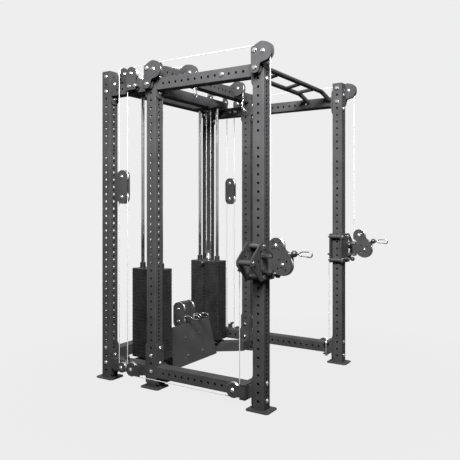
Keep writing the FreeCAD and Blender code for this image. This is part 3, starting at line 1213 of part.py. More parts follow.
def lat_and_row_hooks():
    """Stops and snap hooks of the lat and low row cables."""
    drop_y = -LAT_RUN - LAT_ROPE_R
    z = LAT_FRONT_AXLE[2] - LAT_DROP
    ball = Part.makeSphere(11.0, V(0, drop_y, z - 11.05))
    hook = snap_hook(0, drop_y, z - 28, "-z")
    lat = lat_place(ball.fuse(hook).removeSplitter())
    save("lat_hook_right", [lat])
    save("lat_hook_left", [mirror_x(lat)])
    exit_z = ROW_LOW_Z + ROPE_R
    y = ROW_Y - ROW_DROP
    stop = Part.makeSphere(14.0, V(ROW_X, y - 14.05, exit_z))
    hook = snap_hook(ROW_X, y - 34, exit_z, "-y")
    row = stop.fuse(hook).removeSplitter()
    save("row_hook_right", [row])
    save("row_hook_left", [mirror_x(row)])


uprights()
foot_plates()
beams()
crossmembers()
stack_top_beam()
stack_base_member()
beam_flanges()
frame_bolts()
pull_up_bar()
top_pulley_brackets()
rear_pulley_brackets()
floor_pulley_brackets()
lat_arms()
low_row_tower()
low_row_foot_plate()
guide_rods()
stack_bumpers()
weight_plates()
stack_heads()
selector_pins()
trolleys()
lock_pins()
pulley_heads()
cable_ends()
float_blocks()
fixed_pulleys()
fixed_cables()
moving_cables()
lat_and_row_hooks()
print("nodes", len([f for f in os.listdir("parts") if f.endswith(".step")]))
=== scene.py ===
import json
import math

import bmesh
import bpy
import numpy as np
from mathutils import Matrix, Vector


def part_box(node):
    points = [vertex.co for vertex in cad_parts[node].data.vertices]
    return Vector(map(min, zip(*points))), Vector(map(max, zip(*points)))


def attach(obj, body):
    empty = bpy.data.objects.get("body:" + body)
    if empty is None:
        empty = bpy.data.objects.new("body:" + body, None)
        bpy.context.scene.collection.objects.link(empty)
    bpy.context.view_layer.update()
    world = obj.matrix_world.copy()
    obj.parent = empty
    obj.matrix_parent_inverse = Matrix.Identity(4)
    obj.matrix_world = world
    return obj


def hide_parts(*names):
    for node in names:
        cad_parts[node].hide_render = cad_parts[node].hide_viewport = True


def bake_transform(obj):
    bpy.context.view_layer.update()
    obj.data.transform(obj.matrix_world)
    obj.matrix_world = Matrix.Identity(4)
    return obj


# Looks of the power cage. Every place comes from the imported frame; sizes here are in metres.
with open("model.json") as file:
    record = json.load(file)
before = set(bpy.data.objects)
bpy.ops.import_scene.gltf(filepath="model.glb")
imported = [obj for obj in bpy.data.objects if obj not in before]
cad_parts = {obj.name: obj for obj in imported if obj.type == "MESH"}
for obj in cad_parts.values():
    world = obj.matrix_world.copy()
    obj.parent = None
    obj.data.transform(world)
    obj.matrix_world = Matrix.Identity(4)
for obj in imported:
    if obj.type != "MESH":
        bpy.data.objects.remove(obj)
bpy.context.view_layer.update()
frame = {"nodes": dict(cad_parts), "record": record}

SIDES = ("left", "right")
MM = 0.001
PI = math.pi

CABLE_R = 2.5 * MM
ROPE_DEPTH = 5.0 * MM        # rim of a pulley to the middle of the cable in its groove
X_AXIS = Vector((1, 0, 0))
Y_AXIS = Vector((0, 1, 0))
Z_AXIS = Vector((0, 0, 1))


# ---- reading the frame -----------------------------------------------------------------
SOLIDS = {}                  # what solids() has already found, by node
SAME_POINT = 1e-6


def solids(node):
    """The separate solids of a CAD node, each as (lowest corner, highest corner, points, face numbers)."""
    if node in SOLIDS:
        return SOLIDS[node]
    bm = bmesh.new()
    bm.from_mesh(frame["nodes"][node].data)
    number = bm.faces.layers.int.new("number")
    for i, face in enumerate(bm.faces):
        face[number] = i
    bmesh.ops.remove_doubles(bm, verts=bm.verts, dist=SAME_POINT)
    bm.verts.ensure_lookup_table()
    bm.verts.index_update()
    seen = set()
    found = []
    for seed in bm.verts:
        if seed.index in seen:
            continue
        stack = [seed]
        seen.add(seed.index)
        group = []
        faces = set()
        while stack:
            v = stack.pop()
            group.append(v.co.copy())
            faces.update(f[number] for f in v.link_faces)
            for e in v.link_edges:
                w = e.other_vert(v)
                if w.index not in seen:
                    seen.add(w.index)
                    stack.append(w)
        pts = np.array(group)
        found.append((Vector(pts.min(0)), Vector(pts.max(0)), pts, faces))
    bm.free()
    SOLIDS[node] = found
    return found


def middle(low, high):
    return (low + high) / 2


def wheels(node):
    """Centre, rim radius and axis of each wheel of a node, from left to right.

    A wheel's points spread least along its axis, whichever way it lies.
    """
    found = []
    for low, high, pts, faces in solids(node):
        spread, turns = np.linalg.eigh(np.cov((pts - pts.mean(0)).T))
        found.append((middle(low, high), (high.z - low.z) / 2, Vector(turns[:, 0])))
    return sorted(found, key=lambda w: (round(w[0].x, 3), w[0].y))


# ---- mesh helpers ----------------------------------------------------------------------
def finish_piece(bm, name, materials, body=None, smooth_deg=35.0):
    bmesh.ops.remove_doubles(bm, verts=bm.verts, dist=1e-7)
    bmesh.ops.recalc_face_normals(bm, faces=bm.faces)
    mesh = bpy.data.meshes.new(name)
    bm.to_mesh(mesh)
    bm.free()
    mesh.polygons.foreach_set("use_smooth", [True] * len(mesh.polygons))
    mesh.set_sharp_from_angle(angle=math.radians(smooth_deg))
    for material in materials if isinstance(materials, (list, tuple)) else [materials]:
        mesh.materials.append(material)
    obj = bpy.data.objects.new(name, mesh)
    bpy.context.scene.collection.objects.link(obj)
    if body:
        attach(obj, body)
    return obj


def frame_from(direction):
    """A turn that takes +Z to direction."""
    return Vector(direction).to_track_quat("Z", "Y").to_matrix().to_4x4()


def face(bm, corners, paint):
    made = bm.faces.new(corners)
    made.material_index = paint
    return made


ON_AXIS = 1e-9               # a profile point nearer to the axis than this is one vertex


def add_lathe(bm, profile, place, segments=48, paint=0):
    """Turn the closed (radius, height) profile about Z and put it at the matrix place."""
    rings = []
    for r, h in profile:
        if r < ON_AXIS:
            rings.append([bm.verts.new(place @ Vector((0, 0, h)))])
            continue
        ring = []
        for k in range(segments):
            a = 2 * PI * k / segments
            ring.append(bm.verts.new(place @ Vector((r * math.cos(a), r * math.sin(a), h))))
        rings.append(ring)
    for a, b in zip(rings, rings[1:] + rings[:1]):
        if len(a) == 1 and len(b) == 1:
            continue
        for k in range(segments):
            m = (k + 1) % segments
            if len(a) == 1:
                face(bm, (a[0], b[k], b[m]), paint)
            elif len(b) == 1:
                face(bm, (a[k], a[m], b[0]), paint)
            else:
                face(bm, (a[k], a[m], b[m], b[k]), paint)


HEX = 6                      # sides of a nut or a bolt's head


def add_hexagon(bm, radius, height, place, chamfer):
    """Chamfered hexagon standing on z = 0, for a nut or a bolt's head."""
    levels = ((radius, 0.0), (radius, height - chamfer), (radius - chamfer * 1.4, height))
    rings = []
    for r, h in levels:
        ring = []
        for k in range(HEX):
            a = 2 * PI * (k + 0.5) / HEX
            ring.append(bm.verts.new(place @ Vector((r * math.cos(a), r * math.sin(a), h))))
        rings.append(ring)
    face(bm, list(reversed(rings[0])), 0)
    face(bm, rings[-1], 0)
    for a, b in zip(rings, rings[1:]):
        for k in range(HEX):
            m = (k + 1) % HEX
            face(bm, (a[k], a[m], b[m], b[k]), 0)


def add_tube(bm, points, radius, segments=12):
    """Round capped tube along points, carried without twist."""
    pts = [Vector(p) for p in points]
    last = len(pts) - 1
    tangents = [(pts[min(i + 1, last)] - pts[max(i - 1, 0)]).normalized() for i in range(last + 1)]
    up = Z_AXIS if abs(tangents[0].z) < 0.9 else X_AXIS
    side = tangents[0].cross(up).normalized()
    rings = []
    for point, tangent in zip(pts, tangents):
        side = (side - tangent * side.dot(tangent)).normalized()
        other = tangent.cross(side)
        ring = []
        for k in range(segments):
            a = 2 * PI * k / segments
            ring.append(bm.verts.new(point + side * (radius * math.cos(a)) + other * (radius * math.sin(a))))
        rings.append(ring)
    for a, b in zip(rings, rings[1:]):
        for k in range(segments):
            m = (k + 1) % segments
            face(bm, (a[k], a[m], b[m], b[k]), 0)
    face(bm, list(reversed(rings[0])), 0)
    face(bm, rings[-1], 0)


def arc(centre_point, u, v, radius, start_deg, end_deg, steps=16):
    """Points on a circle about centre_point, in the plane of u and v."""
    pts = []
    for i in range(steps + 1):
        a = math.radians(start_deg + (end_deg - start_deg) * i / steps)
        pts.append(centre_point + u * (radius * math.cos(a)) + v * (radius * math.sin(a)))
    return pts


# ---- materials -------------------------------------------------------------------------
MIX_COLOUR_A = 6             # a mix node's first colour input; the second comes after it
MIX_RESULT = 2               # its colour output


class Nodes:
    """Short way to write a material's node tree."""

    def __init__(self, name):
        self.material = bpy.data.materials.new(name)
        self.material.use_nodes = True
        self.tree = self.material.node_tree
        self.tree.nodes.clear()
        self.out = self.add("ShaderNodeOutputMaterial")
        self.shader = self.add("ShaderNodeBsdfPrincipled")
        self.link(self.shader, "BSDF", self.out, "Surface")
        self.coords = self.add("ShaderNodeTexCoord")

    def add(self, kind, **values):
        node = self.tree.nodes.new(kind)
        for key, value in values.items():
            setattr(node, key, value)
        return node

    def link(self, a, a_socket, b, b_socket):
        self.tree.links.new(a.outputs[a_socket], b.inputs[b_socket])

    def place(self, scale):
        mapping = self.add("ShaderNodeMapping")
        mapping.inputs["Scale"].default_value = scale
        self.link(self.coords, "Object", mapping, "Vector")
        return mapping

    def noise(self, scale, detail=3.0, rough=0.55, stretch=(1, 1, 1)):
        node = self.add("ShaderNodeTexNoise")
        node.inputs["Scale"].default_value = scale
        node.inputs["Detail"].default_value = detail
        node.inputs["Roughness"].default_value = rough
        self.link(self.place(stretch), "Vector", node, "Vector")
        return node

    def ramp(self, source, socket, stops):
        node = self.add("ShaderNodeValToRGB")
        while len(node.color_ramp.elements) < len(stops):
            node.color_ramp.elements.new(0.5)
        for element, (place, colour) in zip(node.color_ramp.elements, stops):
            element.position = place
            element.color = (*colour, 1) if hasattr(colour, "__len__") else (colour, colour, colour, 1)
        self.link(source, socket, node, "Fac")
        return node

    def span(self, source, socket, low, high, from_low=0.3, from_high=0.7):
        node = self.add("ShaderNodeMapRange")
        node.inputs["From Min"].default_value = from_low
        node.inputs["From Max"].default_value = from_high
        node.inputs["To Min"].default_value = low
        node.inputs["To Max"].default_value = high
        self.link(source, socket, node, "Value")
        return node

    def bump(self, source, socket, strength, distance):
        node = self.add("ShaderNodeBump")
        node.inputs["Strength"].default_value = strength
        node.inputs["Distance"].default_value = distance
        self.link(source, socket, node, "Height")
        self.link(node, "Normal", self.shader, "Normal")
        return node

    def set(self, **values):
        for key, value in values.items():
            self.shader.inputs[key.replace("_", " ")].default_value = value
        return self

    def mix(self, factor, factor_socket, a, a_socket, b, b_socket):
        node = self.add("ShaderNodeMix", data_type="RGBA")
        self.link(factor, factor_socket, node, "Factor")
        self.tree.links.new(a.outputs[a_socket], node.inputs[MIX_COLOUR_A])
        self.tree.links.new(b.outputs[b_socket], node.inputs[MIX_COLOUR_A + 1])
        return node


def powder_coat(name, dark, light, rough=(0.42, 0.56), grain=1400.0, bump=0.18):
    """Textured powder coat: broad unevenness, fine orange peel and rubbed speckles."""
    m = Nodes(name)
    broad = m.noise(7.0, 4.0)
    fine = m.noise(grain, 2.0, 0.6)
    tone = m.ramp(broad, "Fac", [(0.32, dark), (0.68, light)])
    scuffs = m.noise(38.0, 8.0, 0.72, (1, 1, 0.35))
    scuff_mask = m.ramp(scuffs, "Fac", [(0.66, 0.0), (0.74, 0.35)])
    rubbed = m.ramp(fine, "Fac", [(0.3, [c * 1.5 for c in light]), (0.7, [c * 2.1 for c in light])])
    colour = m.mix(scuff_mask, "Color", tone, "Color", rubbed, "Color")
    m.tree.links.new(colour.outputs[MIX_RESULT], m.shader.inputs["Base Color"])
    roughness = m.span(fine, "Fac", rough[0], rough[1])
    m.link(roughness, "Result", m.shader, "Roughness")
    m.bump(fine, "Fac", bump, 0.0004)
    m.set(Specular_IOR_Level=0.05)
    return m.material


def metal(name, dark, light, rough, brushed=(1, 1, 60), scale=24.0, bump=0.05):
    """Plated or turned steel with faint streaks and finger-dulled patches."""
    m = Nodes(name)
    streak = m.noise(scale, 5.0, 0.6, brushed)
    patch = m.noise(9.0, 3.0)
    tone = m.ramp(streak, "Fac", [(0.3, dark), (0.7, light)])
    m.link(tone, "Color", m.shader, "Base Color")
    roughness = m.span(patch, "Fac", rough[0], rough[1])
    m.link(roughness, "Result", m.shader, "Roughness")
    m.bump(streak, "Fac", bump, 0.0002)
    m.set(Metallic=1.0)
    return m.material


def moulded(name, dark, light, rough, scale=500.0, bump=0.12, coat=0.0):
    """Moulded plastic or rubber with a fine matt grain."""
    m = Nodes(name)
    grain = m.noise(scale, 3.0)
    patch = m.noise(14.0, 3.0)
    tone = m.ramp(patch, "Fac", [(0.3, dark), (0.7, light)])
    m.link(tone, "Color", m.shader, "Base Color")
    roughness = m.span(grain, "Fac", rough[0], rough[1])
    m.link(roughness, "Result", m.shader, "Roughness")
    m.bump(grain, "Fac", bump, 0.0003)
    m.set(Coat_Weight=coat)
    return m.material


def stack_paint(name):
    """Satin black plate paint with a faint random unevenness of tone."""
    m = Nodes(name)
    broad = m.noise(16.0, 4.0, 0.6, (1, 1, 0.6))
    fine = m.noise(900.0, 2.0)
    tone = m.ramp(broad, "Fac", [(0.3, 0.006), (0.72, 0.014)])
    m.link(tone, "Color", m.shader, "Base Color")
    roughness = m.span(broad, "Fac", 0.34, 0.5)
    m.link(roughness, "Result", m.shader, "Roughness")
    m.bump(fine, "Fac", 0.15, 0.0003)
    return m.material


def wire_rope(name):
    """Clear-coated steel cable: the twist of its strands shows as slanted bands."""
    m = Nodes(name)
    place = m.place((1, 1, 1))
    wave = m.add("ShaderNodeTexWave", wave_type="BANDS", bands_direction="DIAGONAL")
    wave.inputs["Scale"].default_value = 190.0
    wave.inputs["Distortion"].default_value = 0.6
    m.link(place, "Vector", wave, "Vector")
    tone = m.ramp(wave, "Fac", [(0.1, 0.34), (0.75, 0.50)])
    m.link(tone, "Color", m.shader, "Base Color")
    m.bump(wave, "Fac", 0.4, 0.0004)
    patch = m.noise(30.0, 3.0)
    roughness = m.span(patch, "Fac", 0.4, 0.55)
    m.link(roughness, "Result", m.shader, "Roughness")
    m.set(Metallic=0.15)
    return m.material


FRAME_PAINT = powder_coat("frame_paint", (0.030, 0.030, 0.031), (0.043, 0.043, 0.044))
BRACKET_PAINT = powder_coat("bracket_paint", (0.028, 0.028, 0.029), (0.040, 0.040, 0.041), (0.36, 0.5))
BAR_PAINT = powder_coat("bar_paint", (0.016, 0.016, 0.017), (0.026, 0.026, 0.027), (0.34, 0.46), 900.0, 0.3)
ZINC = metal("zinc_plate", 0.62, 0.86, (0.16, 0.3), (1, 1, 1), 120.0)
ROD_CHROME = metal("rod_chrome", 0.55, 0.74, (0.1, 0.2), (60, 60, 1), 30.0, 0.03)
HOOK_CHROME = metal("hook_chrome", 0.36, 0.52, (0.14, 0.26), (1, 1, 1), 90.0, 0.04)
PULLEY_METAL = metal("pulley_metal", 0.42, 0.60, (0.24, 0.38), (1, 30, 30), 40.0)
PULLEY_PLASTIC = moulded("pulley_plastic", 0.02, 0.035, (0.38, 0.5))
STACK_PAINT = stack_paint("stack_paint")
RUBBER = moulded("rubber", 0.012, 0.02, (0.6, 0.75), 700.0, 0.3)
BLACK_BALL = moulded("ball_plastic", 0.008, 0.014, (0.22, 0.34), 420.0, 0.08, 0.3)
CABLE = wire_rope("wire_rope")


# ---- camera, floor and light -----------------------------------------------------------
BACKDROP = 0.855             # the even pale grey behind the object
WORLD_LIGHT = 0.03           # share of its brightness that falls on the object
WORLD_GLOSS = 0.72           # share of it that is mirrored in chrome and zinc
FRONT_SPREAD = math.radians(95)      # both front lights fade towards the foot of the cage
FLOOR_HALF = 30.0
FLOOR_DROP = 0.5 * MM        # keeps the floor off the undersides of the feet


def camera():
    data = bpy.data.cameras.new("camera")
    data.sensor_width = 36.0
    data.lens = 44.36
    data.shift_x = -0.0240
    data.shift_y = -0.0528
    data.clip_end = 100.0
    obj = bpy.data.objects.new("camera", data)
    obj.location = (-3.427, -2.0885, 1.178)
    obj.rotation_euler = (math.radians(90), 0, math.radians(-58.13))
    bpy.context.scene.collection.objects.link(obj)
    bpy.context.scene.camera = obj


def stage():
    bm = bmesh.new()
    corners = ((-1, -1), (1, -1), (1, 1), (-1, 1))
    bm.faces.new([bm.verts.new((x * FLOOR_HALF, y * FLOOR_HALF, -FLOOR_DROP)) for x, y in corners])
    floor = finish_piece(bm, "floor", stage_material())


def stage_material():
    """Pale floor: plain backdrop grey to the camera, with a faint contact shadow near the object."""
    m = Nodes("floor_pale")
    cloud = m.noise(0.8, 2.0)
    tone = m.ramp(cloud, "Fac", [(0.3, 0.10), (0.7, 0.11)])
    m.link(tone, "Color", m.shader, "Base Color")
    m.set(Roughness=0.9, Specular_IOR_Level=0.1)
    glow = m.add("ShaderNodeEmission")
    glow.inputs["Color"].default_value = (BACKDROP, BACKDROP, BACKDROP, 1)
    away = m.add("ShaderNodeVectorMath", operation="LENGTH")
    m.link(m.coords, "Object", away, "Vector")
    share = m.span(away, "Value", 0.965, 1.0, 0.9, 2.4)
    path = m.add("ShaderNodeLightPath")
    seen = m.add("ShaderNodeMath", operation="MULTIPLY")
    m.link(share, "Result", seen, 0)
    m.link(path, "Is Camera Ray", seen, 1)
    blend = m.add("ShaderNodeMixShader")
    m.link(seen, "Value", blend, 0)
    m.link(m.shader, "BSDF", blend, 1)
    m.link(glow, "Emission", blend, 2)
    m.link(blend, "Shader", m.out, "Surface")
    return m.material


def area_light(name, place, target, size, power, spread=PI):
    data = bpy.data.lights.new(name, "AREA")
    data.shape = "RECTANGLE"
    data.size = size[0]
    data.size_y = size[1]
    data.energy = power
    data.spread = spread
    obj = bpy.data.objects.new(name, data)
    obj.location = place
    direction = Vector(target) - Vector(place)
    obj.rotation_euler = direction.to_track_quat("-Z", "Y").to_euler()
    bpy.context.scene.collection.objects.link(obj)


def lights():
    world = bpy.data.worlds.new("studio")
    bpy.context.scene.world = world
    world.use_nodes = True
    tree = world.node_tree
    back = tree.nodes["Background"]
    back.inputs[0].default_value = (BACKDROP, BACKDROP, BACKDROP, 1)
    path = tree.nodes.new("ShaderNodeLightPath")
    span = tree.nodes.new("ShaderNodeMapRange")
    span.inputs["To Min"].default_value = WORLD_LIGHT
    span.inputs["To Max"].default_value = WORLD_GLOSS
    most = tree.nodes.new("ShaderNodeMath")
    most.operation = "MAXIMUM"
    tree.links.new(path.outputs["Is Glossy Ray"], span.inputs["Value"])
    tree.links.new(span.outputs["Result"], most.inputs[0])
    tree.links.new(path.outputs["Is Camera Ray"], most.inputs[1])
    tree.links.new(most.outputs["Value"], back.inputs["Strength"])
    area_light("key_left", (-2.7, -1.5, 3.6), (-0.3, -0.3, 2.1), (1.8, 1.3), 215, FRONT_SPREAD)
    area_light("front_fill", (-0.5, -1.9, 3.4), (0, -0.2, 2.1), (1.6, 1.0), 13, FRONT_SPREAD)
    area_light("top", (0.3, 0.6, 4.2), (0, 0.2, 0), (2.4, 2.4), 60)
    area_light("rear_rim", (1.8, 3.4, 3.6), (0, 0.2, 1.2), (1.8, 1.2), 60)


bpy.context.scene.view_settings.view_transform = "Standard"
camera()
stage()
lights()


# ---- carried-over CAD nodes ------------------------------------------------------------
PAINT_OF_SLOT = {
    "frame_black": FRAME_PAINT, "bar_black": BAR_PAINT, "bracket_black": BRACKET_PAINT, "zinc": ZINC,
    "rod_chrome": ROD_CHROME, "hook_chrome": HOOK_CHROME, "stack_black": STACK_PAINT, "rubber": RUBBER,
    "pulley": PULLEY_METAL, "cable": CABLE,
}


def soften_edges(obj, width):
    """Small bevels on the tube and plate edges, on top of the unchanged CAD mesh."""
    weld = obj.modifiers.new("weld", "WELD")
    weld.merge_threshold = 1e-5
    flat = obj.modifiers.new("flat", "DECIMATE")
    flat.decimate_type = "DISSOLVE"
    flat.angle_limit = math.radians(0.5)
    bevel = obj.modifiers.new("bevel", "BEVEL")
    bevel.width = width
    bevel.segments = 2
    bevel.limit_method = "ANGLE"
    bevel.angle_limit = math.radians(50)
    bevel.use_clamp_overlap = False
    normals = obj.modifiers.new("normals", "WEIGHTED_NORMAL")
    normals.weight = 60


def is_round(size, cross=34.0 * MM, slack=3.0 * MM):
    """True for the box of a bolt, an axle or a spacer: two of its sides are small and alike."""
    a, b, c = sorted(size)
    return (b < cross and b - a < slack) or (c < cross and c - b < slack)


def is_bolt(size, slack=3.0 * MM):
    """A round solid that isn't one of the short painted spacers."""
    return is_round(size, slack=slack) and (max(size) > 38.0 * MM or max(size) < 17.0 * MM)


ROUND_ZINC = ("top_pulley_brackets", "rear_pulley_brackets", "floor_pulley_brackets", "low_row_tower",
              "low_row_foot_plate", "pull_up_bar", "stack_top_beam")


def paint_solids(node, paints, rule):
    """Give each solid of a node the paint that rule(low, high, size) picks by number."""
    mesh = frame["nodes"][node].data
    mesh.materials.clear()
    for paint in paints:
        mesh.materials.append(paint)
    index = np.zeros(len(mesh.polygons), dtype=np.int32)
    for low, high, pts, faces in solids(node):
        index[list(faces)] = rule(low, high, high - low)
    mesh.polygons.foreach_set("material_index", index)


GRIP_X = 757 * MM            # middle of a trolley's outer sleeve, from the cage's middle plane
TROLLEY_BOLT = 100 * MM      # a trolley's bolts are longer than this, its sleeves shorter


def trolley_rule(low, high, size):
    """Painted plates 0, zinc knuckles and bolts 1, plastic sleeves 2, rubber grip 3."""
    knuckle = size.z < 16 * MM and 36 * MM < size.x < 44 * MM
    if knuckle:
        return 1
    if not is_round(size):
        return 0
    if size.y > TROLLEY_BOLT or size.y < 40 * MM:
        return 1
    grip = abs(abs(middle(low, high).x) - GRIP_X) < 10 * MM
    return 3 if grip else 2


def stack_head_rule(low, high, size):
    """Top plate 0, drilled stem 1, rod bushes 2, cable yoke 3."""
    if size.y > 200 * MM:
        return 0
    if size.z > 400 * MM:
        return 1
    return 2 if size.z < 50 * MM else 3


def paint_cad():
    slots = {s["node"]: s["material_slot"] for s in frame["record"]["subparts"]}
    for name, obj in frame["nodes"].items():
        obj.data.materials.clear()
        obj.data.materials.append(PAINT_OF_SLOT[slots[name]])
        obj.data.polygons.foreach_set("use_smooth", [True] * len(obj.data.polygons))
    for name in ROUND_ZINC:
        paint_solids(name, (PAINT_OF_SLOT[slots[name]], ZINC), lambda low, high, size: int(is_bolt(size)))
    paint_solids("lat_arms", (BRACKET_PAINT, ZINC), lambda low, high, size: int(is_bolt(size, 6.0 * MM)))
    for side in SIDES:
        paint_solids("trolley_" + side, (BRACKET_PAINT, ZINC, PULLEY_PLASTIC, RUBBER), trolley_rule)
        paint_solids("stack_head_" + side, (STACK_PAINT, ROD_CHROME, RUBBER, ZINC), stack_head_rule)
        for name in ("pulley_head_", "float_block_"):
            paint_solids(name + side, (BRACKET_PAINT, ZINC), lambda low, high, size: int(is_bolt(size)))


# ---- bolts -----------------------------------------------------------------------------
WASHER_T = 2.0 * MM
HEAD_R = 13.0 * MM
FRAME_NUT_R = 12.1 * MM
TROLLEY_NUT_R = 12.4 * MM
HEAD_SINK = 8.0 * MM         # a frame bolt's end to the face under its head
NUT_SINK = 12.0 * MM         # a frame bolt's end to the face under its nut
TROLLEY_SINK = 7.8 * MM
AXLE_FACE = 15.6 * MM        # a wheel's middle to the outer face of its cheek plate


def add_head(bm, place, radius):
    """Washer, chamfered hexagon head and low dome, standing on z = 0."""
    rim = radius + 0.3 * MM
    washer = [(0, 0), (radius, 0), (rim, 0.4 * MM)]
    washer += [(rim, WASHER_T - 0.3 * MM), (radius, WASHER_T), (0, WASHER_T)]
    add_lathe(bm, washer, place)
    add_hexagon(bm, radius * 0.92, 3.6 * MM, place @ Matrix.Translation((0, 0, WASHER_T)), 0.5 * MM)
    dome = [(0, 5.2 * MM)]
    for k in range(9):
        a = PI / 2 * k / 8
        dome.append((radius * 0.74 * math.cos(a), (5.2 + 3.2 * math.sin(a)) * MM))
    add_lathe(bm, dome, place, 32)


def add_nut(bm, place, radius):
    """Washer, hexagon nut and the threaded end of the bolt."""
    add_lathe(bm, [(0, 0), (radius, 0), (radius, WASHER_T), (0, WASHER_T)], place)
    add_hexagon(bm, radius * 0.95, 8.5 * MM, place @ Matrix.Translation((0, 0, WASHER_T)), 1.2 * MM)
    thread = [(0, WASHER_T)]
    for k in range(9):
        z = WASHER_T + 7.0 * MM + k * 0.55 * MM
        thread.append((6.2 * MM if k % 2 else 6.8 * MM, z))
    thread.append((0, thread[-1][1] + 0.3 * MM))
    add_lathe(bm, thread, place, 24)


END_FACE = 0.2 * MM          # points this near to a bolt's end lie on its end face
NUT_END_POINTS = 14          # a head's round end face has more points than this, a nut's fewer


def frame_bolts():
    """Heads, washers and nuts in place of the CAD bolts; each CAD solid gives the place and direction."""
    bm = bmesh.new()
    for low, high, pts, faces in solids("frame_bolts"):
        size = high - low
        axis = max(range(3), key=lambda i: size[i])
        across = min(size[i] for i in range(3) if i != axis) / 2
        for edge in (low[axis], high[axis]):
            near = pts[np.abs(pts[:, axis] - edge) < END_FACE]
            is_head = len(near) > NUT_END_POINTS
            outward = 1 if edge == high[axis] else -1
            spot = middle(low, high)
            spot[axis] = edge - outward * (HEAD_SINK if is_head else NUT_SINK)
            normal = Vector((0, 0, 0))
            normal[axis] = outward
            place = Matrix.Translation(spot) @ frame_from(normal)
            if is_head:
                add_head(bm, place, across)
            else:
                add_nut(bm, place, FRAME_NUT_R)
    obj = finish_piece(bm, "frame_bolt_set", ZINC, "root", 30.0)
    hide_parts("frame_bolts")


def bolt_caps():
    """Domed heads and nuts over the ends of the trolleys' bolts and the pulleys' axles."""
    for side in SIDES:
        bm = bmesh.new()
        for low, high, pts, faces in solids("trolley_" + side):
            size = high - low
            if not is_round(size) or size.y < TROLLEY_BOLT:
                continue
            for sign in (-1, 1):
                spot = middle(low, high) + Y_AXIS * (sign * (size.y / 2 - TROLLEY_SINK))
                place = Matrix.Translation(spot) @ frame_from((0, sign, 0))
                if sign < 0:
                    add_head(bm, place, HEAD_R)
                else:
                    add_nut(bm, place, TROLLEY_NUT_R)
        finish_piece(bm, "trolley_bolt_set_" + side, ZINC, "trolley_" + side, 30.0)
    sets = {}
    for node, found in WHEELS.items():
        body = "root"
        for side in SIDES:
            if node.endswith(side):
                body = ("pulley_head_" if node.startswith("head") else "float_block_") + side
        bm = sets.setdefault(body, bmesh.new())
        for where, rim, axis in found:
            for sign in (-1, 1):
                out = axis * sign
                place = Matrix.Translation(where + out * AXLE_FACE) @ frame_from(out)
                add_head(bm, place, HEAD_R)
    for body, bm in sorted(sets.items()):
        finish_piece(bm, "axle_cap_set_" + body, ZINC, body, 30.0)


# ---- pulleys ---------------------------------------------------------------------------
def wheel_profile(rim, rope):
    """Half of a pulley's outline in mm, from the middle of its width outwards, as (radius, height)."""
    half = 9.0
    side = [(rope - 2.9, 0.0), (rope - 2.3, 2.4), (rim - 1.4, 5.6), (rim - 0.3, 6.4)]
    side += [(rim, 7.2), (rim, 8.2), (rim - 0.8, half)]
    has_web = rim > 40.0
    if has_web:
        side += [(rim - 8.0, half), (rim - 10.0, 8.0), (rim - 12.0, 5.6)]
        side += [(23.0, 5.0), (20.5, 6.4), (19.5, half)]
    side += [(17.0, half), (16.4, 8.5), (6.1, 8.5)]
    return [(r * MM, h * MM) for r, h in side]


def add_wheel(bm, where, rim, rope, axis):
    """Grooved wheel with a bearing: paint 0 is the wheel, 1 the bearing's rings, 2 its seal."""
    side = wheel_profile(rim / MM, rope / MM)
    loop = side + [(r, -h) for r, h in reversed(side[1:])]
    place = Matrix.Translation(where) @ frame_from(axis)
    add_lathe(bm, loop, place, 72)
    for up in (1, -1):
        for r0, r1, top, paint in ((6.05, 9.2, 9.1, 1), (9.2, 13.4, 8.7, 2), (13.4, 16.2, 9.1, 1)):
            ring = [(r0, 8.0), (r0, top - 0.3), (r0 + 0.3, top), (r1 - 0.3, top), (r1, top - 0.3), (r1, 8.0)]
            add_lathe(bm, [(r * MM, up * h * MM) for r, h in ring], place, 40, paint)


WHEELS = {}                  # wheels() of every pulley node, which pulleys() fills
NOT_WHEELS = ("bracket", "head_left", "head_right")


def pulleys():
    bodies = frame["record"]["behaviour"]["bodies"]
    own = {node: body for body, nodes in bodies.items() for node in nodes}
    for node in sorted(frame["nodes"]):
        if "pulley" not in node or any(word in node for word in NOT_WHEELS):
            continue
        bm = bmesh.new()
        WHEELS[node] = wheels(node)
        for where, rim, axis in WHEELS[node]:
            add_wheel(bm, where, rim, rim - ROPE_DEPTH, axis)
        obj = finish_piece(bm, node + "_turned", (PULLEY_METAL, ZINC, PULLEY_PLASTIC), own[node], 28.0)
        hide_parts(node)


# ---- cables ----------------------------------------------------------------------------
def wheel_of(node, side):
    found = WHEELS[node]
    return found[0] if side == "left" else found[-1]


def rope_arc(wheel, start_deg, end_deg, u=Y_AXIS, v=Z_AXIS):
    where, rim, axis = wheel
    return arc(where, u, v, rim - ROPE_DEPTH, start_deg, end_deg, 20)


def cable_piece(name, runs, body=None):
    bm = bmesh.new()
    for run in runs:
        add_tube(bm, run, CABLE_R, 10)
    return finish_piece(bm, name, CABLE, body, 60.0)


def straight(a, b, steps=12):
    return [a.lerp(b, i / steps) for i in range(steps + 1)]


def tangent_deg(a, b):
    """Angle above level of the run from wheel a to wheel b, of one size, over the top."""
    return math.degrees(math.atan2(b[0].z - a[0].z, b[0].y - a[0].y))


def corner_pair(side):
    """The outer and the inner corner pulley of one side."""
    mine = [w for w in WHEELS["corner_pulleys"] if (w[0].x > 0) == (side == "right")]
    mine.sort(key=lambda w: abs(w[0].x))
    return mine[1], mine[0]


def lat_pair(side):
    """The front and the rear lat pulley of one side, and the level direction from one to the other."""
    mine = [w for w in WHEELS["lat_pulleys"] if (w[0].x > 0) == (side == "right")]
    fore, aft = sorted(mine, key=lambda w: w[0].y)
    ahead = aft[0] - fore[0]
    ahead.z = 0
    return fore, aft, ahead.normalized()


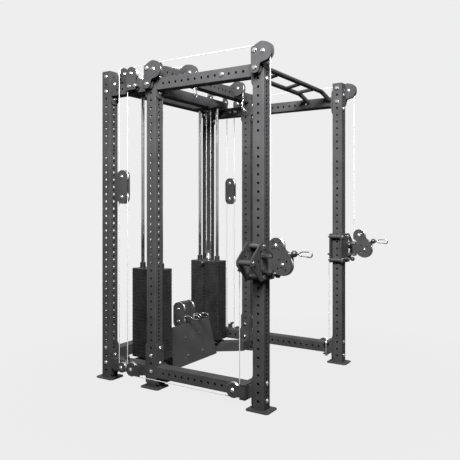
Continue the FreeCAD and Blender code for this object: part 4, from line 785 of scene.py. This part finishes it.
DEAD_EXTRA = 1.0 * MM        # the small pulley's groove is this much shallower than the others
ANCHOR_RISE = 64 * MM        # where the lower cable ends above its last pulley
ROW_FOOT_Z = 45 * MM         # where the low row cable goes into the base member


def fixed_cables():
    """The stretches over the pulleys that stay with the frame."""
    runs = []
    for side in SIDES:
        sign = 1 if side == "right" else -1
        front, mid, rear = (wheel_of(n + "_top_pulleys", side) for n in ("front", "mid", "rear"))
        fall = tangent_deg(mid, rear)
        runs.append(rope_arc(front, 180, 90) + rope_arc(mid, 90, 90 + fall) + rope_arc(rear, 90 + fall, 0))
        outer, inner = corner_pair(side)
        u = X_AXIS * sign
        runs.append(rope_arc(outer, 0, 90, u) + rope_arc(inner, 90, 180, u))
        floor = wheel_of("front_floor_pulleys", side)
        back = wheel_of("rear_floor_pulleys", side)
        runs.append(rope_arc(floor, 180, 270) + rope_arc(back, 270, 360))
        where, rim, axis = wheel_of("cable_end_pulleys", side)
        last = rope_arc((where, rim + DEAD_EXTRA, axis), 0, -180)
        runs.append(last + [last[-1] + Z_AXIS * ANCHOR_RISE])
        fore, aft, ahead = lat_pair(side)
        climb = math.degrees(math.atan2(aft[0].z - fore[0].z, (aft[0] - fore[0]).dot(ahead)))
        runs.append(rope_arc(fore, 180, 90 + climb, ahead) + rope_arc(aft, 90 + climb, 0, ahead))
        bend = rope_arc(wheel_of("low_row_lower_pulleys", side), 90, 0)
        runs.append(bend + [bend[-1] - Z_AXIS * (bend[-1].z - ROW_FOOT_Z)])
    obj = cable_piece("cable_bends", runs, "root")
    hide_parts("fixed_cables")


def stretch(name, body_a, body_b, a, b):
    """Straight run of cable from a to b, with its points baked in place; body_a and body_b are not used."""
    run = cable_piece(name, [straight(a, b)])
    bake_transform(run)
    return run


def lug_of(side):
    """Underside of the trolley's cable lug, which reaches furthest to the rear."""
    low, high, pts, faces = max(solids("trolley_" + side), key=lambda s: s[1].y)
    return low.z


def handle_cable(side):
    """Down from the front top pulley to the trolley's head, round it and out to the ball stop."""
    start = rope_arc(wheel_of("front_top_pulleys", side), 180, 180)[0]
    on_head = rope_arc(wheel_of("head_upper_pulley_" + side, side), 0, -90)
    down = stretch("cable_down_" + side, "root", "trolley_" + side, start, on_head[0])
    cable_piece("cable_nip_" + side, [on_head], "pulley_head_" + side)
    out = on_head[-1]
    stop = Vector((out.x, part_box("cable_end_" + side)[1][1], out.z))
    stretch("cable_exit_" + side, "pulley_head_" + side, "cable_end_" + side, out, stop)
    return down


def lower_cable(side):
    """Up from the front floor pulley to the lug behind the trolley."""
    low_end = rope_arc(wheel_of("front_floor_pulleys", side), 180, 180)[0]
    up = Vector((low_end.x, low_end.y, lug_of(side)))
    stretch("cable_lower_" + side, "root", "trolley_" + side, low_end, up)


def float_cables(side):
    """Round the floating block's two pulleys, and the four runs that lead to the frame's pulleys."""
    tops = wheel_of("float_upper_pulley_" + side, side)
    lows = wheel_of("float_lower_pulley_" + side, side)
    rounds = [rope_arc(tops, 180, 360), rope_arc(lows, 180, 0)]
    cable_piece("cable_float_" + side, rounds, "float_block_" + side)
    ends = (
        (tops, 180, wheel_of("rear_top_pulleys", side)),
        (tops, 0, corner_pair(side)[0]),
        (lows, 180, wheel_of("rear_floor_pulleys", side)),
        (lows, 0, wheel_of("cable_end_pulleys", side)),
    )
    for number, (wheel, angle, other) in enumerate(ends):
        near = rope_arc(wheel, angle, angle)[0]
        far = Vector((near.x, near.y, other[0].z))
        stretch("cable_fall_%d_%s" % (number, side), "root", "float_block_" + side, far, near)


def stack_cables(side):
    """The trolley's and the lat arm's cable, down to the yoke of the stack."""
    sign = 1 if side == "right" else -1
    inner = corner_pair(side)[1]
    aft, ahead = lat_pair(side)[1:]
    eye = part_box("stack_head_" + side)[1][2]
    tops = (rope_arc(inner, 180, 180, X_AXIS * sign)[0], rope_arc(aft, 0, 0, ahead)[0])
    for name, top in zip(("main", "lat"), tops):
        foot = Vector((top.x, top.y, eye))
        stretch("cable_stem_%s_%s" % (name, side), "root", "stack_head_" + side, top, foot)


def hook_cables(side):
    """Short bare stretches between the lat and low row pulleys and their hooks."""
    fore, aft, ahead = lat_pair(side)
    lat = rope_arc(fore, 180, 180, ahead)[0]
    foot = Vector((lat.x, lat.y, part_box("lat_hook_" + side)[1][2]))
    stretch("cable_lat_" + side, "root", "lat_hook_" + side, lat, foot)
    row = rope_arc(wheel_of("low_row_lower_pulleys", side), 90, 90)[0]
    foot = Vector((row.x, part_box("row_hook_" + side)[1][1], row.z))
    stretch("cable_row_" + side, "root", "row_hook_" + side, row, foot)


def moving_cables():
    """The stretches of cable to the moving parts; the CAD node of these cables is hidden."""
    for side in SIDES:
        handle_cable(side)
        lower_cable(side)
        float_cables(side)
        stack_cables(side)
        hook_cables(side)
    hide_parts("moving_cables")


# ---- hooks, stops and knobs ------------------------------------------------------------
HOOK_WIRE = 3.7 * MM
GATE_WIRE = 2.7 * MM


def add_hook(bm, hub, along, across, length):
    """Snap hook: swivel barrel, spine and round nose, and the thinner sprung gate."""
    def at(s, w):
        """The point s mm along the hook and w mm across it."""
        return hub + along * (s * MM) + across * (w * MM)

    reach = length / MM
    normal = along.cross(across)
    place = Matrix.Translation(hub - along * (6.0 * MM)) @ frame_from(along)
    barrel = [(0, 0), (5.6, 0), (6.4, 1.0), (6.4, 9.0), (5.0, 10.5), (0, 10.5)]
    add_lathe(bm, [(r * MM, h * MM) for r, h in barrel], place, 28)
    spine = [at(3, 0), at(7, -5), at(12, -10), at(19, -13.2), at(27, -14), at(reach - 27, -14)]
    spine += arc(at(reach - 17, 0), -across, along, 14.0 * MM, 0, 180, 18)
    spine += [at(reach - 25, 14.0), at(reach - 29, 13.6)]
    add_tube(bm, spine, HOOK_WIRE, 14)
    shoulder = [at(3, 0), at(8, 5.5), at(14, 9.5)]
    add_tube(bm, shoulder, HOOK_WIRE, 14)
    gate = [at(13, 9.6), at(20, 11.4), at(reach - 27.5, 12.4)]
    add_tube(bm, gate, GATE_WIRE, 12)
    for s, w, r in ((14, 9.6, 4.6), (reach - 28, 12.6, 4.2)):
        pin = Matrix.Translation(at(s, w) - normal * (4.2 * MM)) @ frame_from(normal)
        add_lathe(bm, [(0, 0), (r * MM, 0.3 * MM), (r * MM, 8.1 * MM), (0, 8.4 * MM)], pin, 18)


def ball_profile(radius, mouth):
    """Round stop with a small flat where the cable goes in."""
    pts = [(0, -radius)]
    for i in range(1, 24):
        a = -PI / 2 + PI * i / 24
        pts.append((radius * math.cos(a), radius * math.sin(a)))
    pts += [(mouth, radius * 0.985), (mouth * 0.8, radius * 0.93), (0, radius * 0.93)]
    return pts


# rubber stop's outline as shares of its radius, from the cable's side
CONE = (
    (0, -1.3), (0.35, -1.3), (0.5, -1.0), (0.62, -0.2), (0.95, 0.2), (1, 0.55), (0.85, 0.9), (0.4, 1), (0, 1),
)

# knob's outline in mm, from the pin's side, and its grip ribs
KNOB = (
    (0, 0), (6.5, 0), (8.0, 1.2), (8.4, 4.0), (10.5, 7.0), (13.6, 9.5), (14.2, 12.0), (14.2, 26.0),
    (13.2, 29.5), (9.5, 32.0), (0, 33.0),
)
RIB_COUNT = 12
RIB_RING = 14.0 * MM
RIB_R = 1.2 * MM
RIB_HEIGHTS = (11.5, 13.0, 25.0, 26.5)


def cable_stop(name, node, ball_r, hub_gap, direction, across, soft=False):
    """Ball or rubber stop, ferrule and snap hook at a cable's end, laid out from the node's box."""
    low, high = (Vector(c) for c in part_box(node))
    along = Vector(direction)
    reach = abs((high - low).dot(along))
    start = middle(low, high) - along * (reach / 2)
    ball = start + along * ball_r
    bm = bmesh.new()
    place = Matrix.Translation(ball) @ frame_from(-along)
    if soft:
        add_lathe(bm, [(r * ball_r, h * ball_r) for r, h in CONE], place, 40)
    else:
        add_lathe(bm, ball_profile(ball_r, 4.0 * MM), place, 48)
    finish_piece(bm, name + "_stop", RUBBER if soft else BLACK_BALL, node, 40.0)
    bm = bmesh.new()
    hub = start + along * hub_gap
    sleeve = Matrix.Translation(ball + along * (ball_r * 0.9)) @ frame_from(along)
    length = hub_gap - ball_r * 1.9 - 2.0 * MM
    top = length + 1.0 * MM
    ferrule = [(0, 0), (4.6 * MM, 0), (5.2 * MM, 0.8 * MM), (5.2 * MM, length), (3.6 * MM, top), (0, top)]
    add_lathe(bm, ferrule, sleeve, 28)
    add_hook(bm, hub, along, Vector(across), reach - hub_gap)
    obj = finish_piece(bm, name, HOOK_CHROME, node, 40.0)
    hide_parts(node)


def pull_knob(name, node, outward, knob_len, pin_r):
    """Steel pin and a ribbed plastic knob; outward points from the pin's tip to the knob."""
    low, high = (Vector(c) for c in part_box(node))
    along = Vector(outward)
    reach = abs((high - low).dot(along))
    tip = middle(low, high) - along * (reach / 2)
    place = Matrix.Translation(tip) @ frame_from(along)
    foot = reach - knob_len
    bm = bmesh.new()
    pin = [(0, 0), (pin_r - 1.2 * MM, 0), (pin_r, 1.5 * MM), (pin_r, foot + 2.0 * MM), (0, foot + 2.0 * MM)]
    add_lathe(bm, pin, place, 32)
    obj = finish_piece(bm, name, ROD_CHROME, node, 40.0)
    bm = bmesh.new()
    scale = knob_len / KNOB[-1][1]
    top = place @ Matrix.Translation((0, 0, foot))
    add_lathe(bm, [(r * MM, h * scale) for r, h in KNOB], top, 48)
    for k in range(RIB_COUNT):
        a = 2 * PI * k / RIB_COUNT
        x = RIB_RING * math.cos(a)
        y = RIB_RING * math.sin(a)
        add_tube(bm, [top @ Vector((x, y, h * scale)) for h in RIB_HEIGHTS], RIB_R, 8)
    finish_piece(bm, name + "_knob", BLACK_BALL, node, 40.0)
    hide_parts(node)


def hooks_and_knobs():
    """Each of these nodes is a body of its own, which carries its pieces."""
    forward = (0, -1, 0)
    down = (0, 0, -1)
    for side in SIDES:
        sign = 1 if side == "right" else -1
        cable_stop("handle_hook_" + side, "cable_end_" + side, 19.0 * MM, 47.0 * MM, forward, down)
        cable_stop("lat_snap_" + side, "lat_hook_" + side, 11.0 * MM, 28.0 * MM, down, (1, 0, 0))
        cable_stop("row_snap_" + side, "row_hook_" + side, 14.0 * MM, 34.0 * MM, forward, down, True)
        pull_knob("lock_plunger_" + side, "lock_pin_" + side, forward, 33.4 * MM, 7.0 * MM)
        pull_knob("selector_" + side, "selector_pin_" + side, (-sign, 0, 0), 35.0 * MM, 5.5 * MM)


SOFTENED = {                 # bevel of the frame's edges in mm, by node
    "uprights_front": 0.7, "uprights_mid": 0.7, "uprights_rear": 0.7,
    "side_beams_upper": 0.7, "side_beams_lower": 0.7, "rear_bay_beams": 0.7, "crossmembers": 0.7,
    "foot_plates": 0.8, "beam_flanges": 0.8, "stack_base_member": 2.5,
}

paint_cad()
frame_bolts()
pulleys()
bolt_caps()
fixed_cables()
moving_cables()
hooks_and_knobs()
for softened, width in SOFTENED.items():
    soften_edges(frame["nodes"][softened], width * MM)
